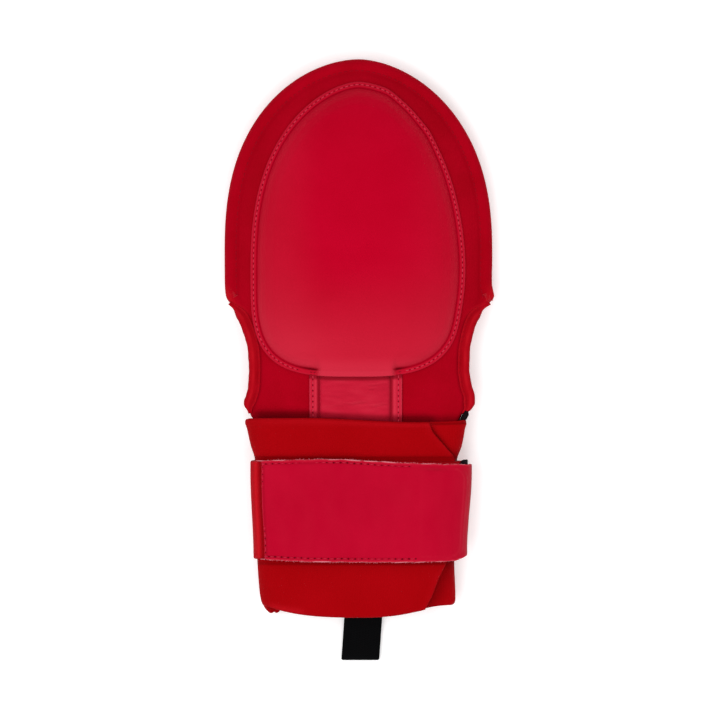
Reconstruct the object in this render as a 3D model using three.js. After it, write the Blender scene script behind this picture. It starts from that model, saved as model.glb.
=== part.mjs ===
// A sliding mitt for the hand: a padded two-panel shell with a thumb hole at each side, a leather
// covered pad on its back, a knit cuff that laps over itself, a wrist strap and a pull tab.
// Millimetres. The mitt lies palm down: +Z is up out of the pad, +Y points to the fingertips.

import * as THREE from 'three';

// Driving sizes of the hand shell
const SHELL_WALL = 3;
const SEAM_HEIGHT = 10;
const CONTACT_GAP = 0.3;
const MIDDLE_X = -0.8;
const FINGERTIP_START_Y = 55;
const FINGERTIP_REACH = 100;
// The fingertip outline: powers of its sideways part, and how much higher the forward power is
const LEFT_TIP_ROUNDNESS = 1.85;
const RIGHT_TIP_ROUNDNESS = 1.78;
const TIP_STRETCH = 1.35;
const TIP_HALF_WIDTH = 69;
// How far the middle line runs on past the start of the fingertips, as a share of their reach
const SPINE_SHARE = 0.45;
const FAN_STEPS = 13;
const SEAM_MARGIN = 0.91;
// Stretch inside the seam margin over which the wall goes from level to sloping
const RIM_BLEND = 0.06;
// Places across each half of a panel, from its middle line to its edge
const HALF_SHARES = [0, 0.3, 0.5, 0.64, 0.75, 0.84, SEAM_MARGIN, 1];
const CROWN_FULLNESS = 2.4;
const PALM_CURL_START = 0.7;
const BACK_RIM = SEAM_HEIGHT + CONTACT_GAP / 2 + SHELL_WALL;
const PALM_RIM = SEAM_HEIGHT - CONTACT_GAP / 2 - SHELL_WALL;

// Side edges of both panels below the fingertips, where the thumb holes are cut in
const SIDE_EDGES = [
  { y: -37, left: -53.6, right: 47.8 },
  { y: -31, left: -54.6, right: 48.2 },
  { y: -28, left: -56.4, right: 52 },
  { y: -24, left: -56.4, right: 54.9 },
  { y: -20, left: -54.9, right: 55.1 },
  { y: -13, left: -53.3, right: 53.2 },
  { y: -4, left: -53, right: 52.1 },
  { y: 5, left: -53.5, right: 52.4 },
  { y: 12, left: -55, right: 53.6 },
  { y: 18, left: -57.1, right: 55.2 },
  { y: 23, left: -59.5, right: 57.6 },
  { y: 27, left: -63.4, right: 61.8 },
  { y: 30, left: -67.6, right: 67.4 },
  { y: 33, left: -69.1, right: 69.2 },
  { y: 36, left: -69.5, right: 68.6 },
  { y: 40, left: -69.7, right: 68 },
  { y: 55, left: -69.8, right: 68.2 },
];

// Shape of the two panels along the mitt: the crown of the back, how far the side seam rises, the
// half width that the dome of the back is drawn on, and the lowest level of the palm
const SHELL_FORM = [
  { y: -37, crown: 22.6, seamRise: 3.35, halfWidth: 55.5, palmFloor: 4.7 },
  { y: -31, crown: 23.4, seamRise: 3.35, halfWidth: 56.5, palmFloor: 4.6 },
  { y: -24, crown: 24.6, seamRise: 2.9, halfWidth: 60.5, palmFloor: 1.6 },
  { y: -16, crown: 26, seamRise: 1.8, halfWidth: 64, palmFloor: 0 },
  { y: -6, crown: 27, seamRise: 0.8, halfWidth: 66.5, palmFloor: 0 },
  { y: 8, crown: 28, seamRise: 0.2, halfWidth: 68.3, palmFloor: 0 },
  { y: 20, crown: 28.4, seamRise: 0, halfWidth: 69, palmFloor: 0 },
  { y: 55, crown: 28.5, seamRise: 0, halfWidth: 69, palmFloor: 0 },
];

// Driving sizes of the bound edges at the thumb holes
const HEM_WIDTH = 3.9;
const HEM_THICKNESS = 4.2;
// Where each side's hems begin and end, and the length over which they narrow to each end
const HEM_ENDS = {
  left: { top: 29.5, bottom: -27.5 },
  right: { top: 29.5, bottom: -24.6 },
};
const HEM_TAPER = 6;
const HEM_END_SHARE = 0.2;
const HEM_STEPS = 20;
const HEM_SIDES = 8;
// Share of the gap between the two panels that each hem swells into
const HEM_SWELL = 0.4;

// Driving sizes of the pad and the strip below it
const PAD_CENTRE = new THREE.Vector2(-1, 46);
const PAD_HALF_WIDTH = 55.3;
const PAD_REACH_UP = 97.1;
const PAD_REACH_DOWN = 54.6;
const PAD_GAP = 0.5;
// Powers of the four quarters of the pad's outline, sideways and up or down
const PAD_QUARTERS = {
  upperLeft: { sideways: 1.6, upright: 2.35 },
  upperRight: { sideways: 1.87, upright: 1.8 },
  lowerLeft: { sideways: 3.5, upright: 3.5 },
  lowerRight: { sideways: 3.05, upright: 3.05 },
};
// Rings of the pad: first in from its edge by an inset, then toward its centre by a share
const PAD_PROFILE = [
  { inset: 0, inward: 0, thickness: 1.3 },
  { inset: 3.4, inward: 0, thickness: 1.3 },
  { inset: 5.2, inward: 0, thickness: 3 },
  { inset: 8.5, inward: 0, thickness: 5 },
  { inset: 14, inward: 0, thickness: 6.4 },
  { inset: 22, inward: 0, thickness: 7.2 },
  { inset: 22, inward: 0.2, thickness: 7.5 },
  { inset: 22, inward: 0.4, thickness: 7.6 },
  { inset: 22, inward: 0.6, thickness: 7.7 },
  { inset: 22, inward: 0.8, thickness: 7.7 },
];
const PAD_SIDES = 44;
const STRIP_LEFT = -26.5;
const STRIP_RIGHT = 21.9;
const STRIP_BOTTOM_Y = -35;
const STRIP_FLANGE = 4.4;
const STRIP_THICKNESS = 2.5;
const STRIP_SHOULDER = 1.6;
const STRIP_SHOULDER_THICKNESS = 2.2;
const STRIP_FLANGE_THICKNESS = 1.2;
const STRIP_STEPS = 6;

// Driving sizes of the cuff, the strap and the pull tab
const CUFF_WALL = 2.6;
const LAP_GAP = 0.4;
const LAP_HIDDEN_X = 24.5;
const CUFF_TOP_Y = -30.4;
const CUFF_END_Y = -126;
const CUFF_END_BULGE = 6.1;
const BULGE_START_SHARE = 0.85;
// How soon the bulge of the cuff's end fades toward each side
const BULGE_FADE = { left: 1.8, right: 4.2 };
// Angle over which the sheet dips under the lap, and over which it is fully down at the lap's edge
const DIP_SPAN = THREE.MathUtils.degToRad(55);
const DIP_FULL = 0.1;
const LAP_STEPS = 6;
const DIP_STEPS = 5;
const ROUND_STEPS = 22;
// Stations along the cuff: its section's left, right, bottom and top, and x of the lap's edge
const CUFF_STATIONS = [
  { y: -30.4, left: -59, right: 54.6, bottom: 0.6, top: 30.2, lapX: 36 },
  { y: -36, left: -58, right: 54, bottom: 0.7, top: 29.8, lapX: 37.8 },
  { y: -44, left: -56.2, right: 53, bottom: 1.3, top: 29, lapX: 42.5 },
  { y: -51.5, left: -54.05, right: 51.85, bottom: 2.35, top: 28, lapX: 47.6 },
  { y: -62, left: -54.05, right: 51.85, bottom: 2.35, top: 28, lapX: 49.5 },
  { y: -77, left: -54.05, right: 51.85, bottom: 2.35, top: 28, lapX: 50 },
  { y: -92, left: -54.05, right: 51.85, bottom: 2.35, top: 28, lapX: 49 },
  { y: -103, left: -53, right: 50.6, bottom: 2.2, top: 27.8, lapX: 45.4 },
  { y: -112, left: -52.2, right: 49.4, bottom: 1, top: 27.2, lapX: 41 },
  { y: -120, left: -51.6, right: 49.2, bottom: 0.7, top: 26.4, lapX: 37.5 },
  { y: -126, left: -50.2, right: 48.6, bottom: 0.6, top: 25.8, lapX: 34 },
];
const UPPER_ROUNDNESS = 2.7;
const LOWER_ROUNDNESS = 4;

// Black lining between the shell and the cuff: x of its inner face, and its low and high edges
const GUSSET_THICKNESS = 1.6;
const GUSSET_PATH = [
  { y: -26, x: 54.5, low: 12, high: 16.2 },
  { y: -27, x: 53.6, low: 11.2, high: 16.8 },
  { y: -28.2, x: 52.6, low: 10.8, high: 17 },
  { y: -29.4, x: 50.7, low: 10.5, high: 17 },
  { y: -30.2, x: 49.5, low: 10.5, high: 16.8 },
  { y: -36, x: 48.4, low: 10.8, high: 16.2 },
];

const STRAP_TOP_Y = -51.8;
const STRAP_BOTTOM_Y = -102.6;
const STRAP_SECTION_Y = -77;
const BAND_THICKNESS = 2;
const BAND_GAP = 0.35;
const HOOK_THICKNESS = 1;
const FACE_THICKNESS = 1.6;
const FACE_LEFT_X = -47.3;
const HOOK_LEFT_X = 27;
const HOOK_END_ANGLE = THREE.MathUtils.degToRad(-3);
const FACE_END_ANGLE = THREE.MathUtils.degToRad(-5);
// Angles before the hook's edge between which the face steps up onto the hook
const FACE_STEP_FAR = 0.35;
const FACE_STEP_NEAR = 0.08;
const BAND_STEPS = 44;
const FACE_STEPS = 24;
const HOOK_STEPS = 10;
const STRAP_ROWS = 3;

const TAB_WIDTH = 19.6;
const TAB_THICKNESS = 1.4;
const TAB_CENTRE_X = 1.6;
const TAB_LEAN = 0.07;
const TAB_LEAN_FROM_Y = -134;
// Middle of the webbing, out along its lower layer and back along its upper one
const TAB_PATH = [
  { y: -116, z: 4.9 },
  { y: -127, z: 4.6 },
  { y: -134, z: 2.1 },
  { y: -142, z: 0.85 },
  { y: -153.1, z: 0.8 },
  { y: -154.2, z: 1.3 },
  { y: -154.3, z: 2.2 },
  { y: -153.1, z: 2.7 },
  { y: -142, z: 2.75 },
  { y: -134, z: 4 },
  { y: -127, z: 6.5 },
  { y: -116, z: 6.8 },
];

const COLOURS = {
  shell: { colour: 0xa80318, roughness: 0.85 },
  hem: { colour: 0xbb0c18, roughness: 0.8 },
  leather: { colour: 0xc0122e, roughness: 0.5 },
  knit: { colour: 0xaa040a, roughness: 0.92 },
  elastic: { colour: 0xbf0d18, roughness: 0.75 },
  strap: { colour: 0xc10b2c, roughness: 0.7 },
  black: { colour: 0x0e0e10, roughness: 0.8 },
};

// Smooth value of a table's column at y, with the table's rows in rising or falling order of y.
// The curve never swings past the values of the rows on either side.
function tableValue(rows, y, column) {
  const rising = rows[0].y < rows[rows.length - 1].y ? rows : [...rows].reverse();
  const last = rising.length - 1;
  if (y <= rising[0].y) return rising[0][column];
  if (y >= rising[last].y) return rising[last][column];
  const index = rising.findIndex((row) => row.y > y) - 1;
  const steepness = (step) => {
    if (step < 0 || step >= last) return 0;
    return (rising[step + 1][column] - rising[step][column]) / (rising[step + 1].y - rising[step].y);
  };
  const slopeAt = (row) => {
    const before = steepness(row - 1);
    const after = steepness(row);
    return before * after > 0 ? (2 * before * after) / (before + after) : 0;
  };
  const from = rising[index];
  const to = rising[index + 1];
  const span = to.y - from.y;
  const share = (y - from.y) / span;
  const square = share * share;
  const cube = square * share;
  return from[column] * (2 * cube - 3 * square + 1) + to[column] * (3 * square - 2 * cube)
    + span * (slopeAt(index) * (cube - 2 * square + share) + slopeAt(index + 1) * (cube - square));
}

function easeBetween(low, high, value) {
  const share = THREE.MathUtils.clamp((value - low) / (high - low), 0, 1);
  return share * share * (3 - 2 * share);
}

function spread(low, high, steps) {
  return Array.from({ length: steps + 1 }, (_, step) => low + ((high - low) * step) / steps);
}

// One closed body from a list of triangle corners: corners that coincide are joined, slivers are
// dropped, and the faces are turned to point out
function solidFromCorners(corners) {
  const positions = [];
  const indexOf = new Map();
  const indices = [];
  for (const corner of corners) {
    const key = corner.toArray().map((value) => Math.round(value * 1e4)).join(' ');
    if (!indexOf.has(key)) {
      indexOf.set(key, positions.length / 3);
      positions.push(corner.x, corner.y, corner.z);
    }
    indices.push(indexOf.get(key));
  }
  const kept = [];
  let volume = 0;
  for (let start = 0; start < indices.length; start += 3) {
    const [a, b, c] = indices.slice(start, start + 3);
    if (a === b || b === c || c === a) continue;
    kept.push([a, b, c]);
    const [pa, pb, pc] = [a, b, c].map((index) => new THREE.Vector3().fromArray(positions, index * 3));
    volume += pa.dot(pb.cross(pc)) / 6;
  }
  const ordered = volume < 0 ? kept.map(([a, b, c]) => [a, c, b]) : kept;
  const geometry = new THREE.BufferGeometry();
  geometry.setAttribute('position', new THREE.Float32BufferAttribute(positions, 3));
  geometry.setIndex(ordered.flat());
  geometry.computeVertexNormals();
  return geometry;
}

function pushQuad(corners, a, b, c, d) {
  corners.push(a, b, c, a, c, d);
}

// A wall between two grids of points, rows by columns. A wall that goes right round has its last
// column joined to its first, and one whose last row is folded shut has no edge there.
function wallBetween(outside, inside, { goesRound = false, lastRowShut = false } = {}) {
  const corners = [];
  const rows = outside.length - 1;
  const columns = outside[0].length - 1;
  for (let row = 0; row < rows; row += 1) {
    for (let column = 0; column < columns; column += 1) {
      pushQuad(corners, outside[row][column], outside[row][column + 1],
        outside[row + 1][column + 1], outside[row + 1][column]);
      pushQuad(corners, inside[row][column], inside[row + 1][column],
        inside[row + 1][column + 1], inside[row][column + 1]);
    }
    if (!goesRound) {
      pushQuad(corners, outside[row][0], outside[row + 1][0], inside[row + 1][0], inside[row][0]);
      pushQuad(corners, outside[row][columns], inside[row][columns],
        inside[row + 1][columns], outside[row + 1][columns]);
    }
  }
  for (let column = 0; column < columns; column += 1) {
    pushQuad(corners, outside[0][column], inside[0][column],
      inside[0][column + 1], outside[0][column + 1]);
    if (!lastRowShut) {
      pushQuad(corners, outside[rows][column], outside[rows][column + 1],
        inside[rows][column + 1], inside[rows][column]);
    }
  }
  return solidFromCorners(corners);
}

// A bar swept through closed rings of points, capped with a fan at each end
function barThroughRings(rings) {
  const corners = [];
  const sides = rings[0].length;
  for (let ring = 0; ring < rings.length - 1; ring += 1) {
    for (let side = 0; side < sides; side += 1) {
      const next = (side + 1) % sides;
      pushQuad(corners, rings[ring][side], rings[ring][next], rings[ring + 1][next], rings[ring + 1][side]);
    }
  }
  for (let side = 1; side < sides - 1; side += 1) {
    const last = rings[rings.length - 1];
    corners.push(rings[0][0], rings[0][side + 1], rings[0][side]);
    corners.push(last[0], last[side], last[side + 1]);
  }
  return solidFromCorners(corners);
}

function piece(name, geometry, finish) {
  const material = new THREE.MeshStandardMaterial({
    color: finish.colour,
    roughness: finish.roughness,
    metalness: 0,
    flatShading: true,
  });
  const mesh = new THREE.Mesh(geometry, material);
  mesh.name = name;
  return mesh;
}

// How far out a point of the hand shell lies: 0 on the middle line, 1 on the edge of the dome
function shellReach(x, y) {
  const across = Math.abs(x - MIDDLE_X);
  if (y <= FINGERTIP_START_Y) return across / tableValue(SHELL_FORM, y, 'halfWidth');
  const roundness = x < MIDDLE_X ? LEFT_TIP_ROUNDNESS : RIGHT_TIP_ROUNDNESS;
  const sideways = (across / TIP_HALF_WIDTH) ** roundness;
  const forwards = ((y - FINGERTIP_START_Y) / FINGERTIP_REACH) ** (roundness * TIP_STRETCH);
  return (sideways + forwards) ** (1 / roundness);
}

function backTopHeight(x, y) {
  const crown = tableValue(SHELL_FORM, y, 'crown');
  const edge = BACK_RIM + tableValue(SHELL_FORM, y, 'seamRise');
  const reach = Math.min(shellReach(x, y) / SEAM_MARGIN, 1);
  return edge + (crown - edge) * (1 - reach ** CROWN_FULLNESS);
}

function palmUndersideHeight(x, y) {
  const floor = tableValue(SHELL_FORM, y, 'palmFloor');
  const edge = PALM_RIM + tableValue(SHELL_FORM, y, 'seamRise');
  return floor + (edge - floor) * easeBetween(PALM_CURL_START, SEAM_MARGIN, shellReach(x, y));
}

// Wall thickness measured upright: a sloping wall keeps its thickness across the slope
function uprightThickness(heightAt, x, y) {
  const step = 0.5;
  const slopeX = (heightAt(x + step, y) - heightAt(x - step, y)) / (2 * step);
  const slopeY = (heightAt(x, y + step) - heightAt(x, y - step)) / (2 * step);
  const sloping = easeBetween(SEAM_MARGIN, SEAM_MARGIN - RIM_BLEND, shellReach(x, y));
  return SHELL_WALL * (1 + (Math.hypot(1, slopeX, slopeY) - 1) * sloping);
}

// Rows across the shell from the wrist to the fingertip, each bent round the finger end
function shellRows() {
  const rows = SIDE_EDGES.map(({ y, left, right }) => ({
    middle: new THREE.Vector2(MIDDLE_X, y),
    left: new THREE.Vector2(left, y),
    right: new THREE.Vector2(right, y),
  }));
  for (let step = 1; step <= FAN_STEPS; step += 1) {
    const share = step / FAN_STEPS;
    const angle = (Math.PI / 2) * share;
    const cosine = step === FAN_STEPS ? 0 : Math.cos(angle);
    const edgePoint = (roundness, side) => new THREE.Vector2(
      MIDDLE_X + side * TIP_HALF_WIDTH * cosine ** (2 / roundness),
      FINGERTIP_START_Y + FINGERTIP_REACH * Math.sin(angle) ** (2 / (roundness * TIP_STRETCH)),
    );
    rows.push({
      middle: new THREE.Vector2(MIDDLE_X, FINGERTIP_START_Y + FINGERTIP_REACH * SPINE_SHARE * share),
      left: edgePoint(LEFT_TIP_ROUNDNESS, -1),
      right: edgePoint(RIGHT_TIP_ROUNDNESS, 1),
    });
  }
  return rows;
}

function shellPanel(heightAt, wallDirection) {
  const shares = [...HALF_SHARES.slice(1).reverse().map((share) => -share), ...HALF_SHARES];
  const outside = [];
  const inside = [];
  for (const row of shellRows()) {
    const points = shares.map((share) => {
      const edge = share < 0 ? row.left : row.right;
      return row.middle.clone().lerp(edge, Math.abs(share));
    });
    outside.push(points.map(({ x, y }) => new THREE.Vector3(x, y, heightAt(x, y))));
    inside.push(points.map(({ x, y }) => {
      const thickness = uprightThickness(heightAt, x, y);
      return new THREE.Vector3(x, y, heightAt(x, y) + wallDirection * thickness);
    }));
  }
  return wallBetween(outside, inside, { lastRowShut: true });
}

// The rounded binding along one panel's edge at a thumb hole, which narrows to nothing at its ends
function thumbHem(side, heightAt, wallMiddle) {
  const direction = side === 'left' ? -1 : 1;
  const { top, bottom } = HEM_ENDS[side];
  const rings = spread(top, bottom, HEM_STEPS).map((y) => {
    const full = easeBetween(top, top - HEM_TAPER, y) * easeBetween(bottom, bottom + HEM_TAPER, y);
    const halfWidth = (HEM_WIDTH / 2) * (HEM_END_SHARE + (1 - HEM_END_SHARE) * full);
    const edgeX = tableValue(SIDE_EDGES, y, side);
    const slope = tableValue(SIDE_EDGES, y + 0.5, side) - tableValue(SIDE_EDGES, y - 0.5, side);
    const outward = new THREE.Vector3(1, -slope, 0).normalize().multiplyScalar(direction);
    const apart = backTopHeight(edgeX, y) - palmUndersideHeight(edgeX, y);
    const opening = Math.max(apart - 2 * SHELL_WALL - CONTACT_GAP, 0);
    const halfThickness = Math.min(HEM_THICKNESS / 2, SHELL_WALL / 2 + opening * HEM_SWELL);
    const edgeZ = heightAt(edgeX, y) + wallMiddle;
    const centre = new THREE.Vector3(edgeX, y, edgeZ);
    centre.addScaledVector(outward, halfWidth + CONTACT_GAP);
    return spread(0, Math.PI * 2, HEM_SIDES).slice(0, -1).map((angle) => centre.clone()
      .addScaledVector(outward, halfWidth * Math.cos(angle))
      .add(new THREE.Vector3(0, 0, halfThickness * Math.sin(angle))));
  });
  return barThroughRings(rings);
}

// Edge of the pad at an angle about its centre, egg shaped with a squarer lower end
function padEdge(angle) {
  const cosine = Math.cos(angle);
  const sine = Math.sin(angle);
  const quarter = PAD_QUARTERS[(sine > 0 ? 'upper' : 'lower') + (cosine < 0 ? 'Left' : 'Right')];
  const reach = sine > 0 ? PAD_REACH_UP : PAD_REACH_DOWN;
  return new THREE.Vector2(
    PAD_CENTRE.x + PAD_HALF_WIDTH * Math.sign(cosine) * Math.abs(cosine) ** (2 / quarter.sideways),
    PAD_CENTRE.y + reach * Math.sign(sine) * Math.abs(sine) ** (2 / quarter.upright),
  );
}

// Where the lower edge of the pad crosses a place x
function padLowerEdgeY(x) {
  const { sideways, upright } = PAD_QUARTERS[x < PAD_CENTRE.x ? 'lowerLeft' : 'lowerRight'];
  const share = Math.abs(x - PAD_CENTRE.x) / PAD_HALF_WIDTH;
  return PAD_CENTRE.y - PAD_REACH_DOWN * (1 - share ** sideways) ** (1 / upright);
}

function backPad() {
  const angles = spread(0, Math.PI * 2, PAD_SIDES).slice(0, -1);
  const ringPoints = PAD_PROFILE.map(({ inset, inward }) => angles.map((angle) => {
    const edge = padEdge(angle);
    const share = (1 - inset / edge.distanceTo(PAD_CENTRE)) * (1 - inward);
    return PAD_CENTRE.clone().lerp(edge, share);
  }));
  const bottomPoint = ({ x, y }) => new THREE.Vector3(x, y, backTopHeight(x, y) + PAD_GAP);
  const topPoint = (point, thickness) => bottomPoint(point).add(new THREE.Vector3(0, 0, thickness));
  const bottoms = ringPoints.map((ring) => ring.map(bottomPoint));
  const tops = ringPoints.map((ring, index) => {
    const { thickness } = PAD_PROFILE[index];
    return ring.map((point) => topPoint(point, thickness));
  });
  const innermost = PAD_PROFILE.length - 1;
  const bottomCentre = bottomPoint(PAD_CENTRE);
  const topCentre = topPoint(PAD_CENTRE, PAD_PROFILE[innermost].thickness);
  const corners = [];
  for (let side = 0; side < PAD_SIDES; side += 1) {
    const next = (side + 1) % PAD_SIDES;
    for (let ring = 0; ring < innermost; ring += 1) {
      pushQuad(corners, tops[ring][side], tops[ring][next],
        tops[ring + 1][next], tops[ring + 1][side]);
      pushQuad(corners, bottoms[ring][side], bottoms[ring + 1][side],
        bottoms[ring + 1][next], bottoms[ring][next]);
    }
    pushQuad(corners, bottoms[0][side], bottoms[0][next], tops[0][next], tops[0][side]);
    corners.push(topCentre, tops[innermost][side], tops[innermost][next]);
    corners.push(bottomCentre, bottoms[innermost][next], bottoms[innermost][side]);
  }
  return solidFromCorners(corners);
}

// The strip from the pad's lower edge into the cuff: flat flanges beside a raised middle
function bridgeStrip() {
  const middleLeft = STRIP_LEFT + STRIP_FLANGE;
  const middleRight = STRIP_RIGHT - STRIP_FLANGE;
  const columns = [
    { x: STRIP_LEFT, thickness: STRIP_FLANGE_THICKNESS },
    { x: middleLeft, thickness: STRIP_FLANGE_THICKNESS },
    { x: middleLeft + STRIP_SHOULDER, thickness: STRIP_SHOULDER_THICKNESS },
    { x: (middleLeft * 2 + middleRight) / 3, thickness: STRIP_THICKNESS },
    { x: (middleLeft + middleRight * 2) / 3, thickness: STRIP_THICKNESS },
    { x: middleRight - STRIP_SHOULDER, thickness: STRIP_SHOULDER_THICKNESS },
    { x: middleRight, thickness: STRIP_FLANGE_THICKNESS },
    { x: STRIP_RIGHT, thickness: STRIP_FLANGE_THICKNESS },
  ];
  const tops = [];
  const bottoms = [];
  for (const share of spread(0, 1, STRIP_STEPS)) {
    const points = columns.map(({ x, thickness }) => {
      const y = THREE.MathUtils.lerp(padLowerEdgeY(x) - CONTACT_GAP, STRIP_BOTTOM_Y, share);
      return { x, y, thickness, bottom: backTopHeight(x, y) + PAD_GAP };
    });
    tops.push(points.map(({ x, y, thickness, bottom }) => new THREE.Vector3(x, y, bottom + thickness)));
    bottoms.push(points.map(({ x, y, bottom }) => new THREE.Vector3(x, y, bottom)));
  }
  return wallBetween(tops, bottoms);
}

// A point of the cuff's oval section at y, drawn in from its outside by an inset
function cuffPoint(y, angle, inset) {
  const left = tableValue(CUFF_STATIONS, y, 'left');
  const right = tableValue(CUFF_STATIONS, y, 'right');
  const bottom = tableValue(CUFF_STATIONS, y, 'bottom');
  const top = tableValue(CUFF_STATIONS, y, 'top');
  const cosine = Math.cos(angle);
  const sine = Math.sin(angle);
  const power = 2 / (sine > 0 ? UPPER_ROUNDNESS : LOWER_ROUNDNESS);
  const halfWidth = (right - left) / 2 - inset;
  const halfHeight = (top - bottom) / 2 - inset;
  return new THREE.Vector3(
    (left + right) / 2 + halfWidth * Math.sign(cosine) * Math.abs(cosine) ** power,
    y,
    (bottom + top) / 2 + halfHeight * Math.sign(sine) * Math.abs(sine) ** power,
  );
}

// Angle on the upper half of the cuff's section at which its outside stands at x
function cuffAngleAt(y, x) {
  const left = tableValue(CUFF_STATIONS, y, 'left');
  const right = tableValue(CUFF_STATIONS, y, 'right');
  const share = (x - (left + right) / 2) / ((right - left) / 2);
  return Math.acos(Math.sign(share) * Math.abs(share) ** (UPPER_ROUNDNESS / 2));
}

// The cuff is one sheet: its hidden end starts on top, dips under the lap, goes round the right
// side, underneath and up the left side, and ends on top at the slanting edge of the lap
function cuffWrap() {
  const outside = [];
  const inside = [];
  for (const { y: stationY, lapX } of CUFF_STATIONS) {
    const hiddenEnd = cuffAngleAt(stationY, LAP_HIDDEN_X);
    const lapEdge = cuffAngleAt(stationY, lapX);
    const dipEnd = lapEdge - DIP_SPAN;
    const underLap = spread(hiddenEnd, lapEdge, LAP_STEPS);
    const dip = spread(lapEdge, dipEnd, DIP_STEPS).slice(1);
    const round = spread(dipEnd, hiddenEnd - Math.PI * 2, ROUND_STEPS).slice(1);
    const overLap = underLap.slice(1).map((angle) => angle - Math.PI * 2);
    const angles = [...underLap, ...dip, ...round, ...overLap];
    const share = (stationY - CUFF_TOP_Y) / (CUFF_END_Y - CUFF_TOP_Y);
    const pointAt = (angle, inset) => {
      const point = cuffPoint(stationY, angle, inset);
      const fade = Math.cos(angle) < 0 ? BULGE_FADE.left : BULGE_FADE.right;
      const onTop = Math.max(Math.sin(angle), 0) ** fade;
      point.y -= CUFF_END_BULGE * onTop * easeBetween(BULGE_START_SHARE, 1, share);
      return point;
    };
    const insetAt = (angle) => {
      const sunk = easeBetween(dipEnd, lapEdge - DIP_FULL, angle);
      return (CUFF_WALL + LAP_GAP) * sunk;
    };
    outside.push(angles.map((angle) => pointAt(angle, insetAt(angle))));
    inside.push(angles.map((angle) => pointAt(angle, insetAt(angle) + CUFF_WALL)));
  }
  return wallBetween(outside, inside);
}

// Black lining that shows at the right corner, between the shell's edge and the cuff
function wristGusset() {
  const surface = (offset) => GUSSET_PATH.map(({ y, x, low, high }) => {
    const levels = spread(low, high, 3);
    return levels.map((z) => new THREE.Vector3(x + offset, y, z));
  });
  return wallBetween(surface(GUSSET_THICKNESS), surface(0));
}

// A closed or open band that follows the cuff's section between the strap's two edges
function bandOverCuff(fromAngle, toAngle, steps, insetAt, thickness, goesRound) {
  const rowEdges = spread(STRAP_TOP_Y, STRAP_BOTTOM_Y, STRAP_ROWS);
  const angles = spread(fromAngle, toAngle, steps);
  const surface = (rise) => rowEdges.map((y) => angles.map((angle) => {
    const point = cuffPoint(STRAP_SECTION_Y, angle, insetAt(angle) - rise);
    point.y = y;
    return point;
  }));
  return wallBetween(surface(thickness), surface(0), { goesRound });
}

function strapBand() {
  return bandOverCuff(0, Math.PI * 2, BAND_STEPS, () => -BAND_GAP, BAND_THICKNESS, true);
}

function strapHook() {
  const start = cuffAngleAt(STRAP_SECTION_Y, HOOK_LEFT_X);
  const clearance = BAND_GAP + BAND_THICKNESS + CONTACT_GAP;
  return bandOverCuff(start, HOOK_END_ANGLE, HOOK_STEPS, () => -clearance, HOOK_THICKNESS, false);
}

function strapFace() {
  const start = cuffAngleAt(STRAP_SECTION_Y, FACE_LEFT_X);
  const hookStart = cuffAngleAt(STRAP_SECTION_Y, HOOK_LEFT_X);
  const onBand = BAND_GAP + BAND_THICKNESS + CONTACT_GAP;
  const overHook = HOOK_THICKNESS + CONTACT_GAP;
  const insetAt = (angle) => {
    const onHook = easeBetween(hookStart + FACE_STEP_FAR, hookStart + FACE_STEP_NEAR, angle);
    return -onBand - overHook * onHook;
  };
  return bandOverCuff(start, FACE_END_ANGLE, FACE_STEPS, insetAt, FACE_THICKNESS, false);
}

// Webbing folded on itself: both ends are sewn inside the cuff's lower wall, the fold lies outside
function pullTab() {
  const surface = (offset) => TAB_PATH.map(({ y, z }, index) => {
    const before = TAB_PATH[Math.max(index - 1, 0)];
    const after = TAB_PATH[Math.min(index + 1, TAB_PATH.length - 1)];
    const along = new THREE.Vector2(after.y - before.y, after.z - before.z).normalize();
    const edgeY = y + offset * along.y;
    const edgeZ = z - offset * along.x;
    return [-1, 1].map((side) => {
      const x = TAB_CENTRE_X + (side * TAB_WIDTH) / 2 + TAB_LEAN * (y - TAB_LEAN_FROM_Y);
      return new THREE.Vector3(x, edgeY, edgeZ);
    });
  });
  return wallBetween(surface(TAB_THICKNESS / 2), surface(-TAB_THICKNESS / 2));
}

const handShell = new THREE.Group();
handShell.add(
  piece('back_panel', shellPanel(backTopHeight, -1), COLOURS.shell),
  piece('palm_panel', shellPanel(palmUndersideHeight, 1), COLOURS.shell),
);
for (const side of ['left', 'right']) {
  handShell.add(
    piece(`${side}_thumb_hem`, thumbHem(side, backTopHeight, -SHELL_WALL / 2), COLOURS.hem),
    piece(`${side}_palm_hem`, thumbHem(side, palmUndersideHeight, SHELL_WALL / 2), COLOURS.hem),
  );
}

const padding = new THREE.Group();
padding.add(
  piece('back_pad', backPad(), COLOURS.leather),
  piece('bridge_strip', bridgeStrip(), COLOURS.leather),
);

const wrist = new THREE.Group();
wrist.add(
  piece('cuff', cuffWrap(), COLOURS.knit),
  piece('wrist_gusset', wristGusset(), COLOURS.black),
  piece('pull_tab', pullTab(), COLOURS.black),
);

const strap = new THREE.Group();
strap.add(
  piece('strap_band', strapBand(), COLOURS.elastic),
  piece('strap_hook', strapHook(), COLOURS.black),
  piece('strap_face', strapFace(), COLOURS.strap),
);

const mitt = new THREE.Group();
mitt.add(handShell, padding, wrist, strap);

// The origin is at the middle of the mitt's box, on the surface that it lies on
const box = new THREE.Box3().setFromObject(mitt, true);
const centre = box.getCenter(new THREE.Vector3());
mitt.position.set(-centre.x, -centre.y, -box.min.z);

export default mitt;
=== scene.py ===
# A sliding mitt lying palm down: padded hand shell, bound thumb holes, leather pad and strip, lapped
# knit cuff, wrist strap and pull tab. Metres, +Z up out of the pad, +Y toward the fingertips.
import math

import bmesh
import bpy
import numpy as np
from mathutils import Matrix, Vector, noise


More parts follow.
